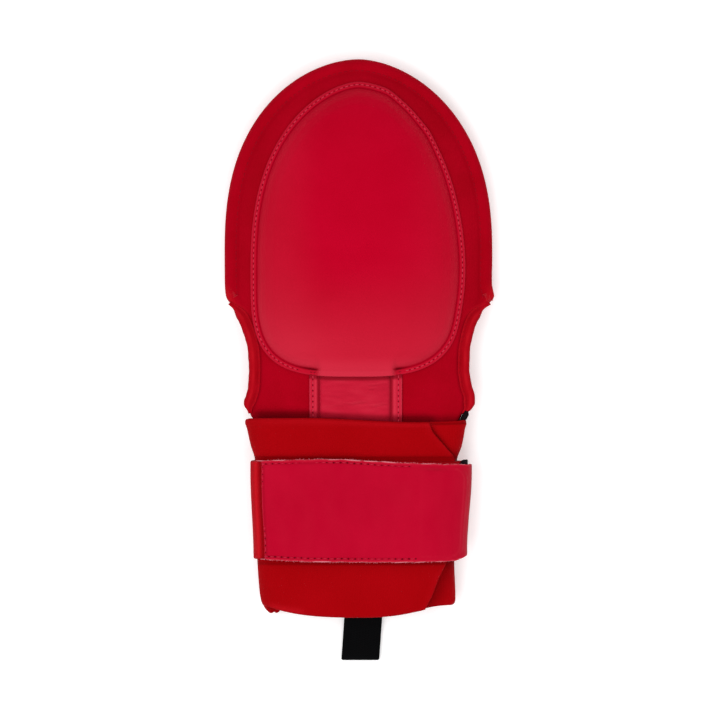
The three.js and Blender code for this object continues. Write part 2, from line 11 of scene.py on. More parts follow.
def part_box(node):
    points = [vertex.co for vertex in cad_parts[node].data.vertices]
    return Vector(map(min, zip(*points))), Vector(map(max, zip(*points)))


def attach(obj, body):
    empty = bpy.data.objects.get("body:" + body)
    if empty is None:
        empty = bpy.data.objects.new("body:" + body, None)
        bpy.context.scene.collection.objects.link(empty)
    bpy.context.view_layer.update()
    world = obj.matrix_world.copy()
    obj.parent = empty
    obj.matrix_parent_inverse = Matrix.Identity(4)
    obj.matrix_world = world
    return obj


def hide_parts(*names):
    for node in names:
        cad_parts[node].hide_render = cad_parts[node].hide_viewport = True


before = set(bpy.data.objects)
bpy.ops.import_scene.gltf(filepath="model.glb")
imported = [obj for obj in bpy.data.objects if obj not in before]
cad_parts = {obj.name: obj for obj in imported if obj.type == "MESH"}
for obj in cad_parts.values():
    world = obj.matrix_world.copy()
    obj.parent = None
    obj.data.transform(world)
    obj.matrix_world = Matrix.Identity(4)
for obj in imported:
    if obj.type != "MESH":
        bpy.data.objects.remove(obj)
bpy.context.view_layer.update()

# Stage: a pale table that glows a little, as a light table does, soft light boxes low on every side
# so that the leather shows only broad highlights, and a camera straight above the mitt.
FRAME_WIDTH = 0.3708
SEAM_LEVEL = 0.012
LENS = 250
SENSOR = 36
# The frame's middle stands a little beside the mitt's own
CAMERA_SHIFT = (0.0003, -0.00008)
WORLD_GLOW = 0.25
FLOOR_HALF = 1.6

scene = bpy.context.scene
scene.view_settings.view_transform = "Standard"


def fill(tree, node, inputs):
    """Sets a node's inputs by name, or links them where a socket is given."""
    for name, value in inputs.items():
        socket = node.inputs[name]
        if isinstance(value, bpy.types.NodeSocket):
            tree.links.new(value, socket)
        else:
            socket.default_value = value
    return node


def add_node(tree, kind, inputs=None, **settings):
    """A new node with its settings and its inputs."""
    made = tree.nodes.new(kind)
    for name, value in settings.items():
        setattr(made, name, value)
    return fill(tree, made, inputs or {})


def new_material(name):
    """An empty material's node tree and its shader."""
    material = bpy.data.materials.new(name)
    material.use_nodes = True
    tree = material.node_tree
    return material, tree, tree.nodes["Principled BSDF"]


world = bpy.data.worlds.new("studio")
scene.world = world
world.use_nodes = True
fill(world.node_tree, world.node_tree.nodes["Background"], {"Color": (1, 1, 1, 1), "Strength": WORLD_GLOW})

floor_mesh = bpy.data.meshes.new("table_top")
floor_corners = [(x * FLOOR_HALF, y * FLOOR_HALF, 0) for x, y in ((-1, -1), (1, -1), (1, 1), (-1, 1))]
floor_mesh.from_pydata(floor_corners, [], [(0, 1, 2, 3)])
floor = bpy.data.objects.new("table_top", floor_mesh)
scene.collection.objects.link(floor)
floor_material, floor_tree, floor_shader = new_material("pale_table")
fill(floor_tree, floor_shader, {
    "Base Color": (0.93, 0.93, 0.93, 1),
    "Roughness": 0.9,
    "Specular IOR Level": 0.1,
    "Emission Color": (1, 1, 1, 1),
    "Emission Strength": 0.3,
})
floor_mesh.materials.append(floor_material)

# Each light box: name, place, width, height, watts
LIGHT_BOXES = [
    ("light_left", (-0.75, 0.0, 1.35), 0.9, 1.2, 8.6),
    ("light_right", (1.0, 0.1, 1.1), 0.9, 1.2, 5.2),
    ("light_wrist", (-0.1, -0.85, 1.25), 1.2, 0.8, 9.9),
    ("light_fingers", (0.1, 1.15, 1.1), 1.2, 0.8, 4.2),
]
for name, place, width, height, watts in LIGHT_BOXES:
    light = bpy.data.lights.new(name, "AREA")
    light.shape = "RECTANGLE"
    light.size = width
    light.size_y = height
    light.energy = watts
    box_light = bpy.data.objects.new(name, light)
    box_light.location = place
    box_light.rotation_euler = (-Vector(place)).to_track_quat("-Z", "Y").to_euler()
    scene.collection.objects.link(box_light)

camera_data = bpy.data.cameras.new("camera")
camera_data.lens = LENS
camera_data.sensor_width = SENSOR
camera_data.clip_end = 20
camera = bpy.data.objects.new("camera", camera_data)
camera.location = (*CAMERA_SHIFT, SEAM_LEVEL + FRAME_WIDTH * LENS / SENSOR)
scene.collection.objects.link(camera)
scene.camera = camera

# Hand shell: two panels of dark crimson jersey on 3 mm foam, cut to one outline, sewn together round
# the fingers and topstitched 6 mm inside the rolled edge. The sides are cut away for the thumb.
MM = 0.001
SHELL_WALL = 3.0
MIDDLE_X = -0.8
FINGERTIP_START_Y = 55.0
FINGERTIP_REACH = 100.0
TIP_HALF_WIDTH = 69.0
# Powers of the fingertip outline: its sideways part, and how much higher the forward power is
TIP_ROUNDNESS = {"left": 1.85, "right": 1.78}
TIP_STRETCH = 1.35
SEAM_MARGIN = 0.91
CROWN_FULLNESS = 2.4
PALM_CURL_START = 0.7
SEAM_GAP = 0.3
SEAM_HEIGHT = 10.0
BACK_RIM = SEAM_HEIGHT + SEAM_GAP / 2 + SHELL_WALL
PALM_RIM = SEAM_HEIGHT - SEAM_GAP / 2 - SHELL_WALL
ROLL_RADIUS = 2.6
TOPSTITCH_INSET = 6.0
# Rows of the panels' meshes along the sides and round the fingertips, whose fan of rows starts from
# the lower part of the middle line
SIDE_ROWS = 84
TIP_ROWS = 90
FAN_SHARE = 0.45

# Side edges of the panels: y, left, right
SIDE_EDGES = [
    (-37, -53.6, 47.8),
    (-33, -54.2, 49.9),
    (-31, -54.6, 51),
    (-28, -56.4, 52.6),
    (-24, -56.4, 54.9),
    (-20, -54.9, 55.1),
    (-13, -53.3, 53.2),
    (-4, -53, 52.1),
    (5, -53.5, 52.4),
    (12, -55, 53.6),
    (18, -57.1, 55.2),
    (23, -59.5, 57.6),
    (27, -63.4, 61.8),
    (30, -67.6, 67.4),
    (33, -69.1, 69.2),
    (36, -69.5, 68.6),
    (40, -69.7, 68),
    (55, -69.8, 68.2),
]
SIDE_COLUMNS = {"left": 1, "right": 2}
# Form of the panels: y, crown of the back, rise of the side seam, half width of the dome, palm level
SHELL_FORM = [
    (-37, 22.6, 3.35, 55.5, 4.7),
    (-31, 23.4, 3.35, 56.5, 4.6),
    (-24, 24.6, 2.9, 60.5, 1.6),
    (-16, 26, 1.8, 64, 0),
    (-6, 27, 0.8, 66.5, 0),
    (8, 28, 0.2, 68.3, 0),
    (20, 28.4, 0, 69, 0),
    (55, 28.5, 0, 69, 0),
]
CROWN, SEAM_RISE, DOME_HALF, PALM_FLOOR = 1, 2, 3, 4

shell_low, shell_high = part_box("back_panel")
SHIFT = np.array([
    shell_low[0] / MM - SIDE_EDGES[-1][SIDE_COLUMNS["left"]],
    shell_high[1] / MM - FINGERTIP_START_Y - FINGERTIP_REACH,
    0,
])


def table_value(rows, y, column):
    """Smooth value of a table's column at y, which never swings past the rows on either side."""
    table = np.array(sorted(rows), float)
    knots, values = table[:, 0], table[:, column]
    y = np.clip(np.asarray(y, float), knots[0], knots[-1])
    span = np.diff(knots)
    steep = np.diff(values) / span
    slopes = np.zeros(len(knots))
    before, after = steep[:-1], steep[1:]
    agree = before * after > 0
    slopes[1:-1][agree] = 2 * before[agree] * after[agree] / (before + after)[agree]
    index = np.clip(np.searchsorted(knots, y, side="right") - 1, 0, len(span) - 1)
    share = (y - knots[index]) / span[index]
    square, cube = share**2, share**3
    return (
        values[index] * (2 * cube - 3 * square + 1)
        + values[index + 1] * (3 * square - 2 * cube)
        + span[index] * (slopes[index] * (cube - 2 * square + share) + slopes[index + 1] * (cube - square))
    )


def ease(low, high, value):
    """0 before low and 1 past high, with a smooth way between; high may be the lower of the two."""
    share = np.clip((np.asarray(value, float) - low) / (high - low), 0, 1)
    return share * share * (3 - 2 * share)


def bump(centre, width, value):
    """A smooth hump of height 1 about a centre."""
    return np.exp(-(((np.asarray(value, float) - centre) / width) ** 2))


def rounding(distance, radius):
    """How far a rounded edge has dropped at a distance in from the edge."""
    inward = np.clip(radius - np.asarray(distance, float), 0, radius)
    return radius - np.sqrt(radius**2 - inward**2)


def signed_power(value, power):
    """A power that keeps the value's sign, for outlines between a circle and a square."""
    return np.sign(value) * np.abs(value) ** power


def ripple(x, y, z, size, seed):
    """Smooth random waves of about one size, from -1 to 1, in the same place each run."""
    points = np.stack(np.broadcast_arrays(x, y, z), -1).reshape(-1, 3) / size + seed * 7.3
    waves = [noise.noise(Vector(point)) for point in points]
    return np.array(waves).reshape(np.broadcast(x, y, z).shape)


def plain_mesh(name, points, faces, material, stretch=None, tones=None):
    """A smooth-shaded object in the row's frame from points in millimetres, with its tones at each point."""
    mesh = bpy.data.meshes.new(name)
    mesh.from_pydata(((np.asarray(points) + SHIFT) * MM).tolist(), [], faces)
    if stretch is not None:
        layer = mesh.uv_layers.new(name="cloth")
        corners = np.array([vertex for face in faces for vertex in face])
        layer.data.foreach_set("uv", (np.asarray(stretch)[corners] * MM).ravel())
    for label, values in (tones or {}).items():
        layer = mesh.attributes.new(label, "FLOAT", "POINT")
        layer.data.foreach_set("value", np.clip(values, 0, 1).astype(np.float32).ravel())
    mesh.materials.append(material)
    work = bmesh.new()
    work.from_mesh(mesh)
    bmesh.ops.remove_doubles(work, verts=work.verts, dist=2e-6)
    bmesh.ops.dissolve_degenerate(work, edges=work.edges, dist=1e-6)
    if work.calc_volume(signed=True) < 0:
        bmesh.ops.reverse_faces(work, faces=work.faces)
    work.to_mesh(mesh)
    work.free()
    mesh.shade_smooth()
    piece = bpy.data.objects.new(name, mesh)
    scene.collection.objects.link(piece)
    return piece


def wall_piece(name, outside, inside, material, goes_round=False, last_row_shut=False, tones=None):
    """A closed wall between two grids of points, rows by columns by 3, with a cloth map along it. Its
    tones are grids for the outside."""
    rows, columns = outside.shape[:2]
    along = np.zeros((rows, columns))
    across = np.zeros((rows, columns))
    along[1:] = np.cumsum(np.linalg.norm(np.diff(outside, axis=0), axis=2), axis=0)
    across[:, 1:] = np.cumsum(np.linalg.norm(np.diff(outside, axis=1), axis=2), axis=1)
    flat_map = np.stack([across, along], -1).reshape(-1, 2)
    points = np.concatenate([outside.reshape(-1, 3), inside.reshape(-1, 3)])
    index = np.arange(rows * columns).reshape(rows, columns)
    under = index + rows * columns
    faces = []

    def quads(a, b, c, d):
        faces.extend(np.stack([a.ravel(), b.ravel(), c.ravel(), d.ravel()], -1).tolist())

    quads(index[:-1, :-1], index[:-1, 1:], index[1:, 1:], index[1:, :-1])
    quads(under[:-1, :-1], under[1:, :-1], under[1:, 1:], under[:-1, 1:])
    if not goes_round:
        quads(index[:-1, 0], index[1:, 0], under[1:, 0], under[:-1, 0])
        quads(index[:-1, -1], under[:-1, -1], under[1:, -1], index[1:, -1])
    quads(index[0, :-1], under[0, :-1], under[0, 1:], index[0, 1:])
    if not last_row_shut:
        quads(index[-1, :-1], index[-1, 1:], under[-1, 1:], under[-1, :-1])
    both_tones = {label: np.stack([np.broadcast_to(grid, (rows, columns)), np.zeros((rows, columns))])
                  for label, grid in (tones or {}).items()}
    return plain_mesh(name, points, faces, material, np.concatenate([flat_map, flat_map]), both_tones)


def shell_reach(x, y):
    """0 on the middle line of the shell and 1 on the edge of its dome."""
    across = np.abs(x - MIDDLE_X)
    straight = across / table_value(SHELL_FORM, y, DOME_HALF)
    power = np.where(x < MIDDLE_X, TIP_ROUNDNESS["left"], TIP_ROUNDNESS["right"])
    forwards = np.clip((y - FINGERTIP_START_Y) / FINGERTIP_REACH, 0, None)
    round_tip = ((across / TIP_HALF_WIDTH) ** power + forwards ** (power * TIP_STRETCH)) ** (1 / power)
    return np.where(y <= FINGERTIP_START_Y, straight, round_tip)


def back_top(x, y):
    """Height of the back panel's smooth upper face."""
    x, y = np.asarray(x, float), np.asarray(y, float)
    edge = BACK_RIM + table_value(SHELL_FORM, y, SEAM_RISE)
    reach = np.minimum(shell_reach(x, y) / SEAM_MARGIN, 1)
    return edge + (table_value(SHELL_FORM, y, CROWN) - edge) * (1 - reach**CROWN_FULLNESS)


def palm_under(x, y):
    """Height of the palm panel's smooth lower face."""
    x, y = np.asarray(x, float), np.asarray(y, float)
    edge = PALM_RIM + table_value(SHELL_FORM, y, SEAM_RISE)
    level = table_value(SHELL_FORM, y, PALM_FLOOR)
    return level + (edge - level) * ease(PALM_CURL_START, SEAM_MARGIN, shell_reach(x, y))


def on_surface(height_at, place, lift):
    """Points over a face of the shell at places x, y, lifted off it."""
    return np.column_stack([place, height_at(*place.T) + lift])


def upright_wall(height_at, x, y):
    """The wall's thickness measured upright, so that it stays even across a slope."""
    step = 0.5
    slope_x = (height_at(x + step, y) - height_at(x - step, y)) / (2 * step)
    slope_y = (height_at(x, y + step) - height_at(x, y - step)) / (2 * step)
    sloping = ease(SEAM_MARGIN, SEAM_MARGIN - 0.06, shell_reach(x, y))
    return SHELL_WALL * (1 + (np.sqrt(1 + slope_x**2 + slope_y**2) - 1) * sloping)


def tip_edge(angle, side):
    """The rounded outline at the fingertips, from the side at angle 0 to the tip at a right angle."""
    sign = -1 if side == "left" else 1
    power = TIP_ROUNDNESS[side]
    cosine = np.clip(np.cos(angle), 0, 1)
    cosine = np.where(cosine < 1e-9, 0, cosine)
    return (
        MIDDLE_X + sign * TIP_HALF_WIDTH * cosine ** (2 / power),
        FINGERTIP_START_Y + FINGERTIP_REACH * np.sin(angle) ** (2 / (power * TIP_STRETCH)),
    )


def side_edge(y, side):
    """Where a side edge of the panels stands at y."""
    return table_value(SIDE_EDGES, y, SIDE_COLUMNS[side])


def side_and_tip(side, y_rows, fan):
    """One side's edge up to the fingertips, and on along its share of their round outline."""
    tip_x, tip_y = tip_edge(fan, side)
    return np.stack([np.append(side_edge(y_rows, side), tip_x), np.append(y_rows, tip_y)], -1)


def shell_grid():
    """Places across the shell, row by row from the wrist to the fingertip, and how far in each is."""
    y_rows = np.linspace(SIDE_EDGES[0][0], FINGERTIP_START_Y, SIDE_ROWS)
    tip_share = np.linspace(0, 1, TIP_ROWS + 1)[1:]
    left, right = (side_and_tip(side, y_rows, tip_share * math.pi / 2) for side in SIDE_COLUMNS)
    spine_y = np.append(y_rows, FINGERTIP_START_Y + FINGERTIP_REACH * FAN_SHARE * tip_share)
    spine = np.stack([np.full_like(spine_y, MIDDLE_X), spine_y], -1)
    half = np.concatenate([
        np.linspace(0, 0.88, 34),
        np.linspace(0.88, 0.955, 10)[1:],
        np.linspace(0.955, 1, 11)[1:],
    ])
    shares = np.concatenate([-half[:0:-1], half])
    ends = np.where((shares < 0)[None, :, None], left[:, None, :], right[:, None, :])
    places = spine[:, None, :] + (ends - spine[:, None, :]) * np.abs(shares)[None, :, None]
    inset = np.linalg.norm(ends - places, axis=2)
    return places[..., 0], places[..., 1], inset


def in_millimetres(tree, vector, size):
    """A vector of metres in millimetres, over a size."""
    scaled = add_node(tree, "ShaderNodeVectorMath", {0: vector, "Scale": 1 / (MM * size)}, operation="SCALE")
    return scaled.outputs["Vector"]


def surface_map(tree, size=1.0):
    """Object coordinates in millimetres, over a size."""
    return in_millimetres(tree, add_node(tree, "ShaderNodeTexCoord").outputs["Object"], size)


def cloth_map(tree, size=1.0):
    """The piece's own map along the cloth in millimetres, over a size."""
    return in_millimetres(tree, add_node(tree, "ShaderNodeUVMap", uv_map="cloth").outputs["UV"], size)


def group_with(name, inputs, outputs, kind="ShaderNodeTree"):
    """A new node group with its sockets, and its two end nodes."""
    group = bpy.data.node_groups.new(name, kind)
    for label, socket_kind, value in inputs:
        socket = group.interface.new_socket(label, in_out="INPUT", socket_type="NodeSocket" + socket_kind)
        if value is not None:
            socket.default_value = value
    for label, socket_kind in outputs:
        group.interface.new_socket(label, in_out="OUTPUT", socket_type="NodeSocket" + socket_kind)
    return group, add_node(group, "NodeGroupInput"), add_node(group, "NodeGroupOutput")


def math_node(tree, operation, *values):
    return add_node(tree, "ShaderNodeMath", dict(enumerate(values)), operation=operation).outputs[0]


def ridges(tree, value, factor):
    """Even round ridges along a value, from 0 to 1."""
    return math_node(tree, "ABSOLUTE", math_node(tree, "SINE", math_node(tree, "MULTIPLY", value, factor)))


def blend(tree, share, first, second):
    """A colour that goes from the first to the second as the share goes from 0 to 1."""
    mixed = add_node(tree, "ShaderNodeMix", {"Factor": share, "A": first, "B": second}, data_type="RGBA")
    return mixed.outputs["Result"]


# Knit loops: fine rows of small arches with a little unevenness, as a height
knit_group, knit_in, knit_out = group_with(
    "knit_loops",
    [("Vector", "Vector", None), ("Unevenness", "Float", 0.5)],
    [("Height", "Float")],
)
knit_vector = knit_in.outputs["Vector"]
knit_axes = add_node(knit_group, "ShaderNodeSeparateXYZ", {0: knit_vector}).outputs
wales = ridges(knit_group, knit_axes["X"], math.pi)
arch = math_node(knit_group, "MULTIPLY", wales, 0.45)
loops = ridges(knit_group, math_node(knit_group, "ADD", knit_axes["Y"], arch), math.pi)
uneven = add_node(knit_group, "ShaderNodeTexNoise", {"Vector": knit_vector, "Scale": 0.4, "Detail": 3})
uneven_height = math_node(knit_group, "MULTIPLY", uneven.outputs["Fac"], knit_in.outputs["Unevenness"])
woven_height = math_node(knit_group, "MULTIPLY", math_node(knit_group, "ADD", wales, loops), 0.5)
fill(knit_group, knit_out, {"Height": math_node(knit_group, "ADD", woven_height, uneven_height)})

# Soft shading of a dyed surface: broad clouds and fine specks between a dark and a light shade
dye_group, dye_in, dye_out = group_with(
    "dye_clouds",
    [
        ("Vector", "Vector", None),
        ("Dark", "Color", (0, 0, 0, 1)),
        ("Light", "Color", (1, 1, 1, 1)),
        ("Cloud size", "Float", 20.0),
        ("Speck share", "Float", 0.3),
    ],
    [("Color", "Color")],
)
dye_given = dye_in.outputs
clouds = add_node(dye_group, "ShaderNodeTexNoise", {
    "Vector": dye_given["Vector"],
    "Scale": math_node(dye_group, "DIVIDE", 1.0, dye_given["Cloud size"]),
    "Detail": 4,
    "Roughness": 0.6,
})
specks = add_node(dye_group, "ShaderNodeTexNoise", {"Vector": dye_given["Vector"], "Scale": 1.6, "Detail": 2})
cloud_share = add_node(dye_group, "ShaderNodeMapRange", {
    "Value": clouds.outputs["Fac"], "From Min": 0.3, "From Max": 0.7,
})
dye_share = add_node(dye_group, "ShaderNodeMix", {
    "Factor": dye_given["Speck share"], "A": cloud_share.outputs["Result"], "B": specks.outputs["Fac"],
})
dye_colour = blend(dye_group, dye_share.outputs["Result"], dye_given["Dark"], dye_given["Light"])
fill(dye_group, dye_out, {"Color": dye_colour})


def tinted(tree, colour, attribute, tint):
    """A colour that turns to a tint where the piece's own attribute is 1."""
    amount = add_node(tree, "ShaderNodeAttribute", attribute_name=attribute)
    return blend(tree, amount.outputs["Fac"], colour, (*tint, 1))


def dyed(tree, dark, light, cloud_size, speck_share, wear_and_highlight, painted_shade):
    """Clouded dye between two shades, tinted dark by the piece's own painted shade, and paler where it is
    worn or has a painted highlight.
    """
    dye = add_node(tree, "ShaderNodeGroup", {
        "Vector": surface_map(tree),
        "Dark": (*dark, 1),
        "Light": (*light, 1),
        "Cloud size": cloud_size,
        "Speck share": speck_share,
    }, node_tree=dye_group)
    return tinted(tree, tinted(tree, dye.outputs["Color"], "wear_and_highlight", wear_and_highlight), "painted_shade", painted_shade)


def relief_normal(tree, height, depth, strength, over=None):
    """The normal of a height's relief, its depth in millimetres, over another normal where one is given."""
    inputs = {"Height": height, "Distance": depth * MM, "Strength": strength}
    if over is not None:
        inputs["Normal"] = over
    return add_node(tree, "ShaderNodeBump", inputs).outputs["Normal"]


def cloth_material(name, dark, light, pitch, depth, roughness, sheen,
                   cloud_size=22.0, own_map=False, uneven=0.6, wear_and_highlight=(0.5, 0.006, 0.012)):
    """Dyed knit or woven cloth: clouded colour, fine loops as bump, painted shade, and places painted paler
    for wear and for highlights.
    """
    material, tree, shader = new_material(name)
    loops_map = cloth_map(tree, pitch) if own_map else surface_map(tree, pitch)
    loops_node = add_node(tree, "ShaderNodeGroup", {
        "Vector": loops_map, "Unevenness": uneven,
    }, node_tree=knit_group)
    # Painted shade tints the cloth toward its dark shade at three tenths of its brightness
    painted_shade = [channel * 0.3 for channel in dark]
    fill(tree, shader, {
        "Base Color": dyed(tree, dark, light, cloud_size, 0.3, wear_and_highlight, painted_shade),
        "Normal": relief_normal(tree, loops_node.outputs["Height"], depth, 0.6),
        "Roughness": roughness,
        "Specular IOR Level": 0.1,
        "Specular Tint": (1, 0.1, 0.25, 1),
        "Sheen Weight": sheen,
        "Sheen Roughness": 0.5,
        "Sheen Tint": (0.8, 0.02, 0.1, 1),
    })
    return material


def dress(piece, node):
    """The piece stands in for a CAD node, whose part is hidden, and rides with the mitt."""
    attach(piece, "root")
    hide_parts(node)


jersey = cloth_material(
    "crimson_jersey", (0.325, 0.0004, 0.0055), (0.42, 0.0006, 0.0105), 0.8, 0.12, 0.85, 0.04,
)
grid_x, grid_y, grid_inset = shell_grid()
roll = rounding(grid_inset, ROLL_RADIUS)
stitch_dip = 0.4 * bump(TOPSTITCH_INSET, 1.0, grid_inset) * ease(22, 34, grid_y)
rim_puff = 0.35 * bump(3.2, 1.8, grid_inset) * ease(22, 34, grid_y)
waves = ripple(grid_x, grid_y, 0, 26, 1) * 0.45 + ripple(grid_x, grid_y, 0, 9, 2) * 0.12
calm = ease(0, 9, grid_inset) * ease(-37, -20, grid_y)

back_height = back_top(grid_x, grid_y)
back_surface = back_height - roll - stitch_dip + rim_puff + 0.25 * waves * calm
back_outside = np.stack([grid_x, grid_y, back_surface], -1)
back_inside = np.stack([grid_x, grid_y, back_height - upright_wall(back_top, grid_x, grid_y)], -1)
CUFF_TOP_Y = -30.4
# How far the cuff's upper rim stands up at the left, and how far it has dipped from there at the right
RIM_RISE = 0.85
RIM_DIP = 2.3


def cuff_rim(x):
    """Where the cuff's upper rim, which dips toward the right, crosses the back at a place x."""
    return CUFF_TOP_Y + RIM_RISE - RIM_DIP * ease(-30, 33, x)


# Painted on the back: a shadow where the cuff stands over it, shade where each binding's lip meets the panel,
# and paler edges and top corners at the holes
edge_left = grid_x - side_edge(grid_y, "left")
edge_right = side_edge(grid_y, "right") - grid_x
cuff_shadow = ease(4.8, 1.8, grid_y - cuff_rim(grid_x)) * ease(-57, -50, grid_x)
cuff_shadow *= 1 - 0.75 * ease(36, 41, grid_x)
hem_crease_shade = 0.32 * (bump(2.3, 0.6, edge_left) + bump(2.3, 0.6, edge_right))
hem_crease_shade *= ease(33, 24, grid_y) * ease(-29, -22, grid_y)
hem_glow = 0.55 * (bump(1.6, 1.8, edge_left) + bump(1.6, 1.8, edge_right))
hem_glow *= ease(36, 31, grid_y) * ease(18, 28, grid_y)
corner_glow = 0.6 * bump(35, 3.4, grid_y) * (bump(0.8, 1.8, edge_left) + bump(0.8, 2.0, edge_right))
back_tones = {"painted_shade": np.maximum(cuff_shadow * 0.62, hem_crease_shade), "wear_and_highlight": hem_glow + corner_glow}
back_panel = wall_piece(
    "back_panel_cloth", back_outside, back_inside, jersey, last_row_shut=True, tones=back_tones,
)

palm_height = palm_under(grid_x, grid_y)
palm_waves = np.clip(waves, 0, 1) * calm * ease(0.2, 3, palm_height)
palm_outside = np.stack([grid_x, grid_y, palm_height + roll + stitch_dip - 0.3 * rim_puff + palm_waves], -1)
palm_inside = np.stack([grid_x, grid_y, palm_height + upright_wall(palm_under, grid_x, grid_y)], -1)
palm_panel = wall_piece("palm_panel_cloth", palm_outside, palm_inside, jersey, last_row_shut=True)

SUPPORTS = {"back_panel": "palm_panel", "palm_panel": "table_top"}
for panel, (node, support) in zip((back_panel, palm_panel), SUPPORTS.items()):
    dress(panel, node)

# Geometry Nodes tree for a row of stitches: a short thread at each step along a sewn line, laid
# along the line or a little askew, with a flattened dark bead between each two as the painted shade of a
# needle hole
sew_tree, sew_in, sew_out = group_with("stitch_row", [
    ("Geometry", "Geometry", None),
    ("Pitch", "Float", 0.003),
    ("Thread length", "Float", 0.0022),
    ("Thread radius", "Float", 0.0003),
    ("Unevenness", "Float", 0.12),
    ("Stray", "Float", 0.0),
    ("Hole radius", "Float", 0.0),
    ("Seed", "Int", 1),
    ("Thread", "Material", None),
    ("Hole", "Material", None),
], [("Geometry", "Geometry")], kind="GeometryNodeTree")
given = sew_in.outputs
# How much higher the seed of the stray turns is, so that they don't follow the sizes
STRAY_SEED_STEP = 50.0
HOLE_FLATNESS = 0.45


def sew_node(kind, inputs=None, **settings):
    """The first output of a new node in the stitch tree."""
    return add_node(sew_tree, kind, inputs, **settings).outputs[0]


def random_between(low, high, seed):
    """A random number for each stitch."""
    made = add_node(sew_tree, "FunctionNodeRandomValue", {"Seed": seed}, data_type="FLOAT")
    limits = [socket for socket in made.inputs if socket.name in ("Min", "Max") and socket.type == "VALUE"]
    for value, socket in zip((low, high), limits):
        sew_tree.links.new(value, socket)
    return next(socket for socket in made.outputs if socket.type == "VALUE")


def finished(instances, finish):
    """Real, smooth geometry of some instances in one of the tree's materials."""
    real = sew_node("GeometryNodeRealizeInstances", {"Geometry": instances})
    smooth = sew_node("GeometryNodeSetShadeSmooth", {"Geometry": real})
    return sew_node("GeometryNodeSetMaterial", {"Geometry": smooth, "Material": finish})


sew_line = sew_node("GeometryNodeMeshToCurve", {"Mesh": given["Geometry"]})
sew_steps = sew_node("GeometryNodeResampleCurve", {
    "Curve": sew_line, "Length": given["Pitch"],
}, mode="LENGTH")
sew_tangent = sew_node("GeometryNodeInputTangent")
sew_turn = sew_node("FunctionNodeAlignRotationToVector", {"Vector": sew_tangent}, axis="X")

thread_size = sew_node("ShaderNodeCombineXYZ", {
    "X": math_node(sew_tree, "MULTIPLY", given["Thread length"], 0.5),
    "Y": given["Thread radius"],
    "Z": given["Thread radius"],
})
round_bead = sew_node("GeometryNodeMeshUVSphere", {"Segments": 8, "Rings": 6, "Radius": 1.0})
thread_bead = sew_node("GeometryNodeTransform", {"Geometry": round_bead, "Scale": thread_size})
smallest = math_node(sew_tree, "SUBTRACT", 1.0, given["Unevenness"])
largest = math_node(sew_tree, "ADD", 1.0, given["Unevenness"])
stray_seed = math_node(sew_tree, "ADD", given["Seed"], STRAY_SEED_STEP)
stray_back = math_node(sew_tree, "MULTIPLY", given["Stray"], -1.0)
stray_turn = sew_node("ShaderNodeCombineXYZ", {"Z": random_between(stray_back, given["Stray"], stray_seed)})
sew_threads = sew_node("GeometryNodeInstanceOnPoints", {
    "Points": sew_steps,
    "Instance": thread_bead,
    "Rotation": sew_node("FunctionNodeRotateRotation", {0: sew_turn, 1: stray_turn}, rotation_space="LOCAL"),
    "Scale": random_between(smallest, largest, given["Seed"]),
})

hole_bead = sew_node("GeometryNodeMeshUVSphere", {"Segments": 8, "Rings": 5, "Radius": given["Hole radius"]})
flat_bead = sew_node("GeometryNodeTransform", {"Geometry": hole_bead, "Scale": (1.0, 1.0, HOLE_FLATNESS)})
sew_holes = sew_node("GeometryNodeInstanceOnPoints", {
    "Points": sew_steps, "Instance": flat_bead, "Rotation": sew_turn,
})
half_step = sew_node("ShaderNodeCombineXYZ", {"X": math_node(sew_tree, "MULTIPLY", given["Pitch"], 0.5)})
holes_between = sew_node("GeometryNodeTranslateInstances", {"Instances": sew_holes, "Translation": half_step})
kept_holes = add_node(sew_tree, "GeometryNodeSwitch", {
    "Switch": sew_node("FunctionNodeCompare", {0: given["Hole radius"], 1: 0.0}, operation="GREATER_THAN"),
    "True": finished(holes_between, given["Hole"]),
}, input_type="GEOMETRY")
kept_threads = finished(sew_threads, given["Thread"])
sew_joined = add_node(sew_tree, "GeometryNodeJoinGeometry", {"Geometry": kept_threads})
fill(sew_tree, sew_joined, {"Geometry": kept_holes.outputs["Output"]})
fill(sew_tree, sew_out, {"Geometry": sew_joined.outputs["Geometry"]})


def made_by_nodes(name, line, tree, values):
    """The plain mesh that a node tree makes along a line of points in millimetres."""
    points = (np.asarray(line) + SHIFT) * MM
    edges = [(step, step + 1) for step in range(len(points) - 1)]
    path = bpy.data.meshes.new(name + "_line")
    path.from_pydata(points.tolist(), edges, [])
    piece = bpy.data.objects.new(name, path)
    scene.collection.objects.link(piece)
    modifier = piece.modifiers.new("made", "NODES")
    modifier.node_group = tree
    names = {item.name: item.identifier for item in tree.interface.items_tree if item.in_out == "INPUT"}
    for label, value in values.items():
        modifier[names[label]] = value
    shown = piece.evaluated_get(bpy.context.evaluated_depsgraph_get())
    piece.data = bpy.data.meshes.new_from_object(shown)
    piece.modifiers.clear()
    return piece


def sew(name, line, thread, pitch, length, radius,
        seed=1, hole=0.0, stray=0.0, uneven=0.12):
    """A row of stitches along a line, riding with the mitt."""
    row = made_by_nodes(name, line, sew_tree, {
        "Pitch": pitch * MM,
        "Thread length": length * MM,
        "Thread radius": radius * MM,
        "Unevenness": uneven,
        "Stray": stray,
        "Hole radius": hole * MM,
        "Seed": seed,
        "Thread": thread,
        "Hole": needle_hole_shade,
    })
    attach(row, "root")


def thread_material(name, colour):
    """Twisted polyester thread: fine slanting plies as bump and a soft gloss."""
    material, tree, shader = new_material(name)
    plies = add_node(tree, "ShaderNodeTexWave", {
        "Vector": surface_map(tree, 0.5), "Scale": 1.6, "Distortion": 0.6,
    }, bands_direction="DIAGONAL").outputs["Fac"]
    fill(tree, shader, {
        "Base Color": blend(tree, plies, (*[channel * 0.7 for channel in colour], 1), (*colour, 1)),
        "Normal": relief_normal(tree, plies, 0.06, 0.5),
        "Roughness": 0.6,
        "Specular IOR Level": 0.1,
        "Specular Tint": (1, 0.3, 0.4, 1),
    })
    return material


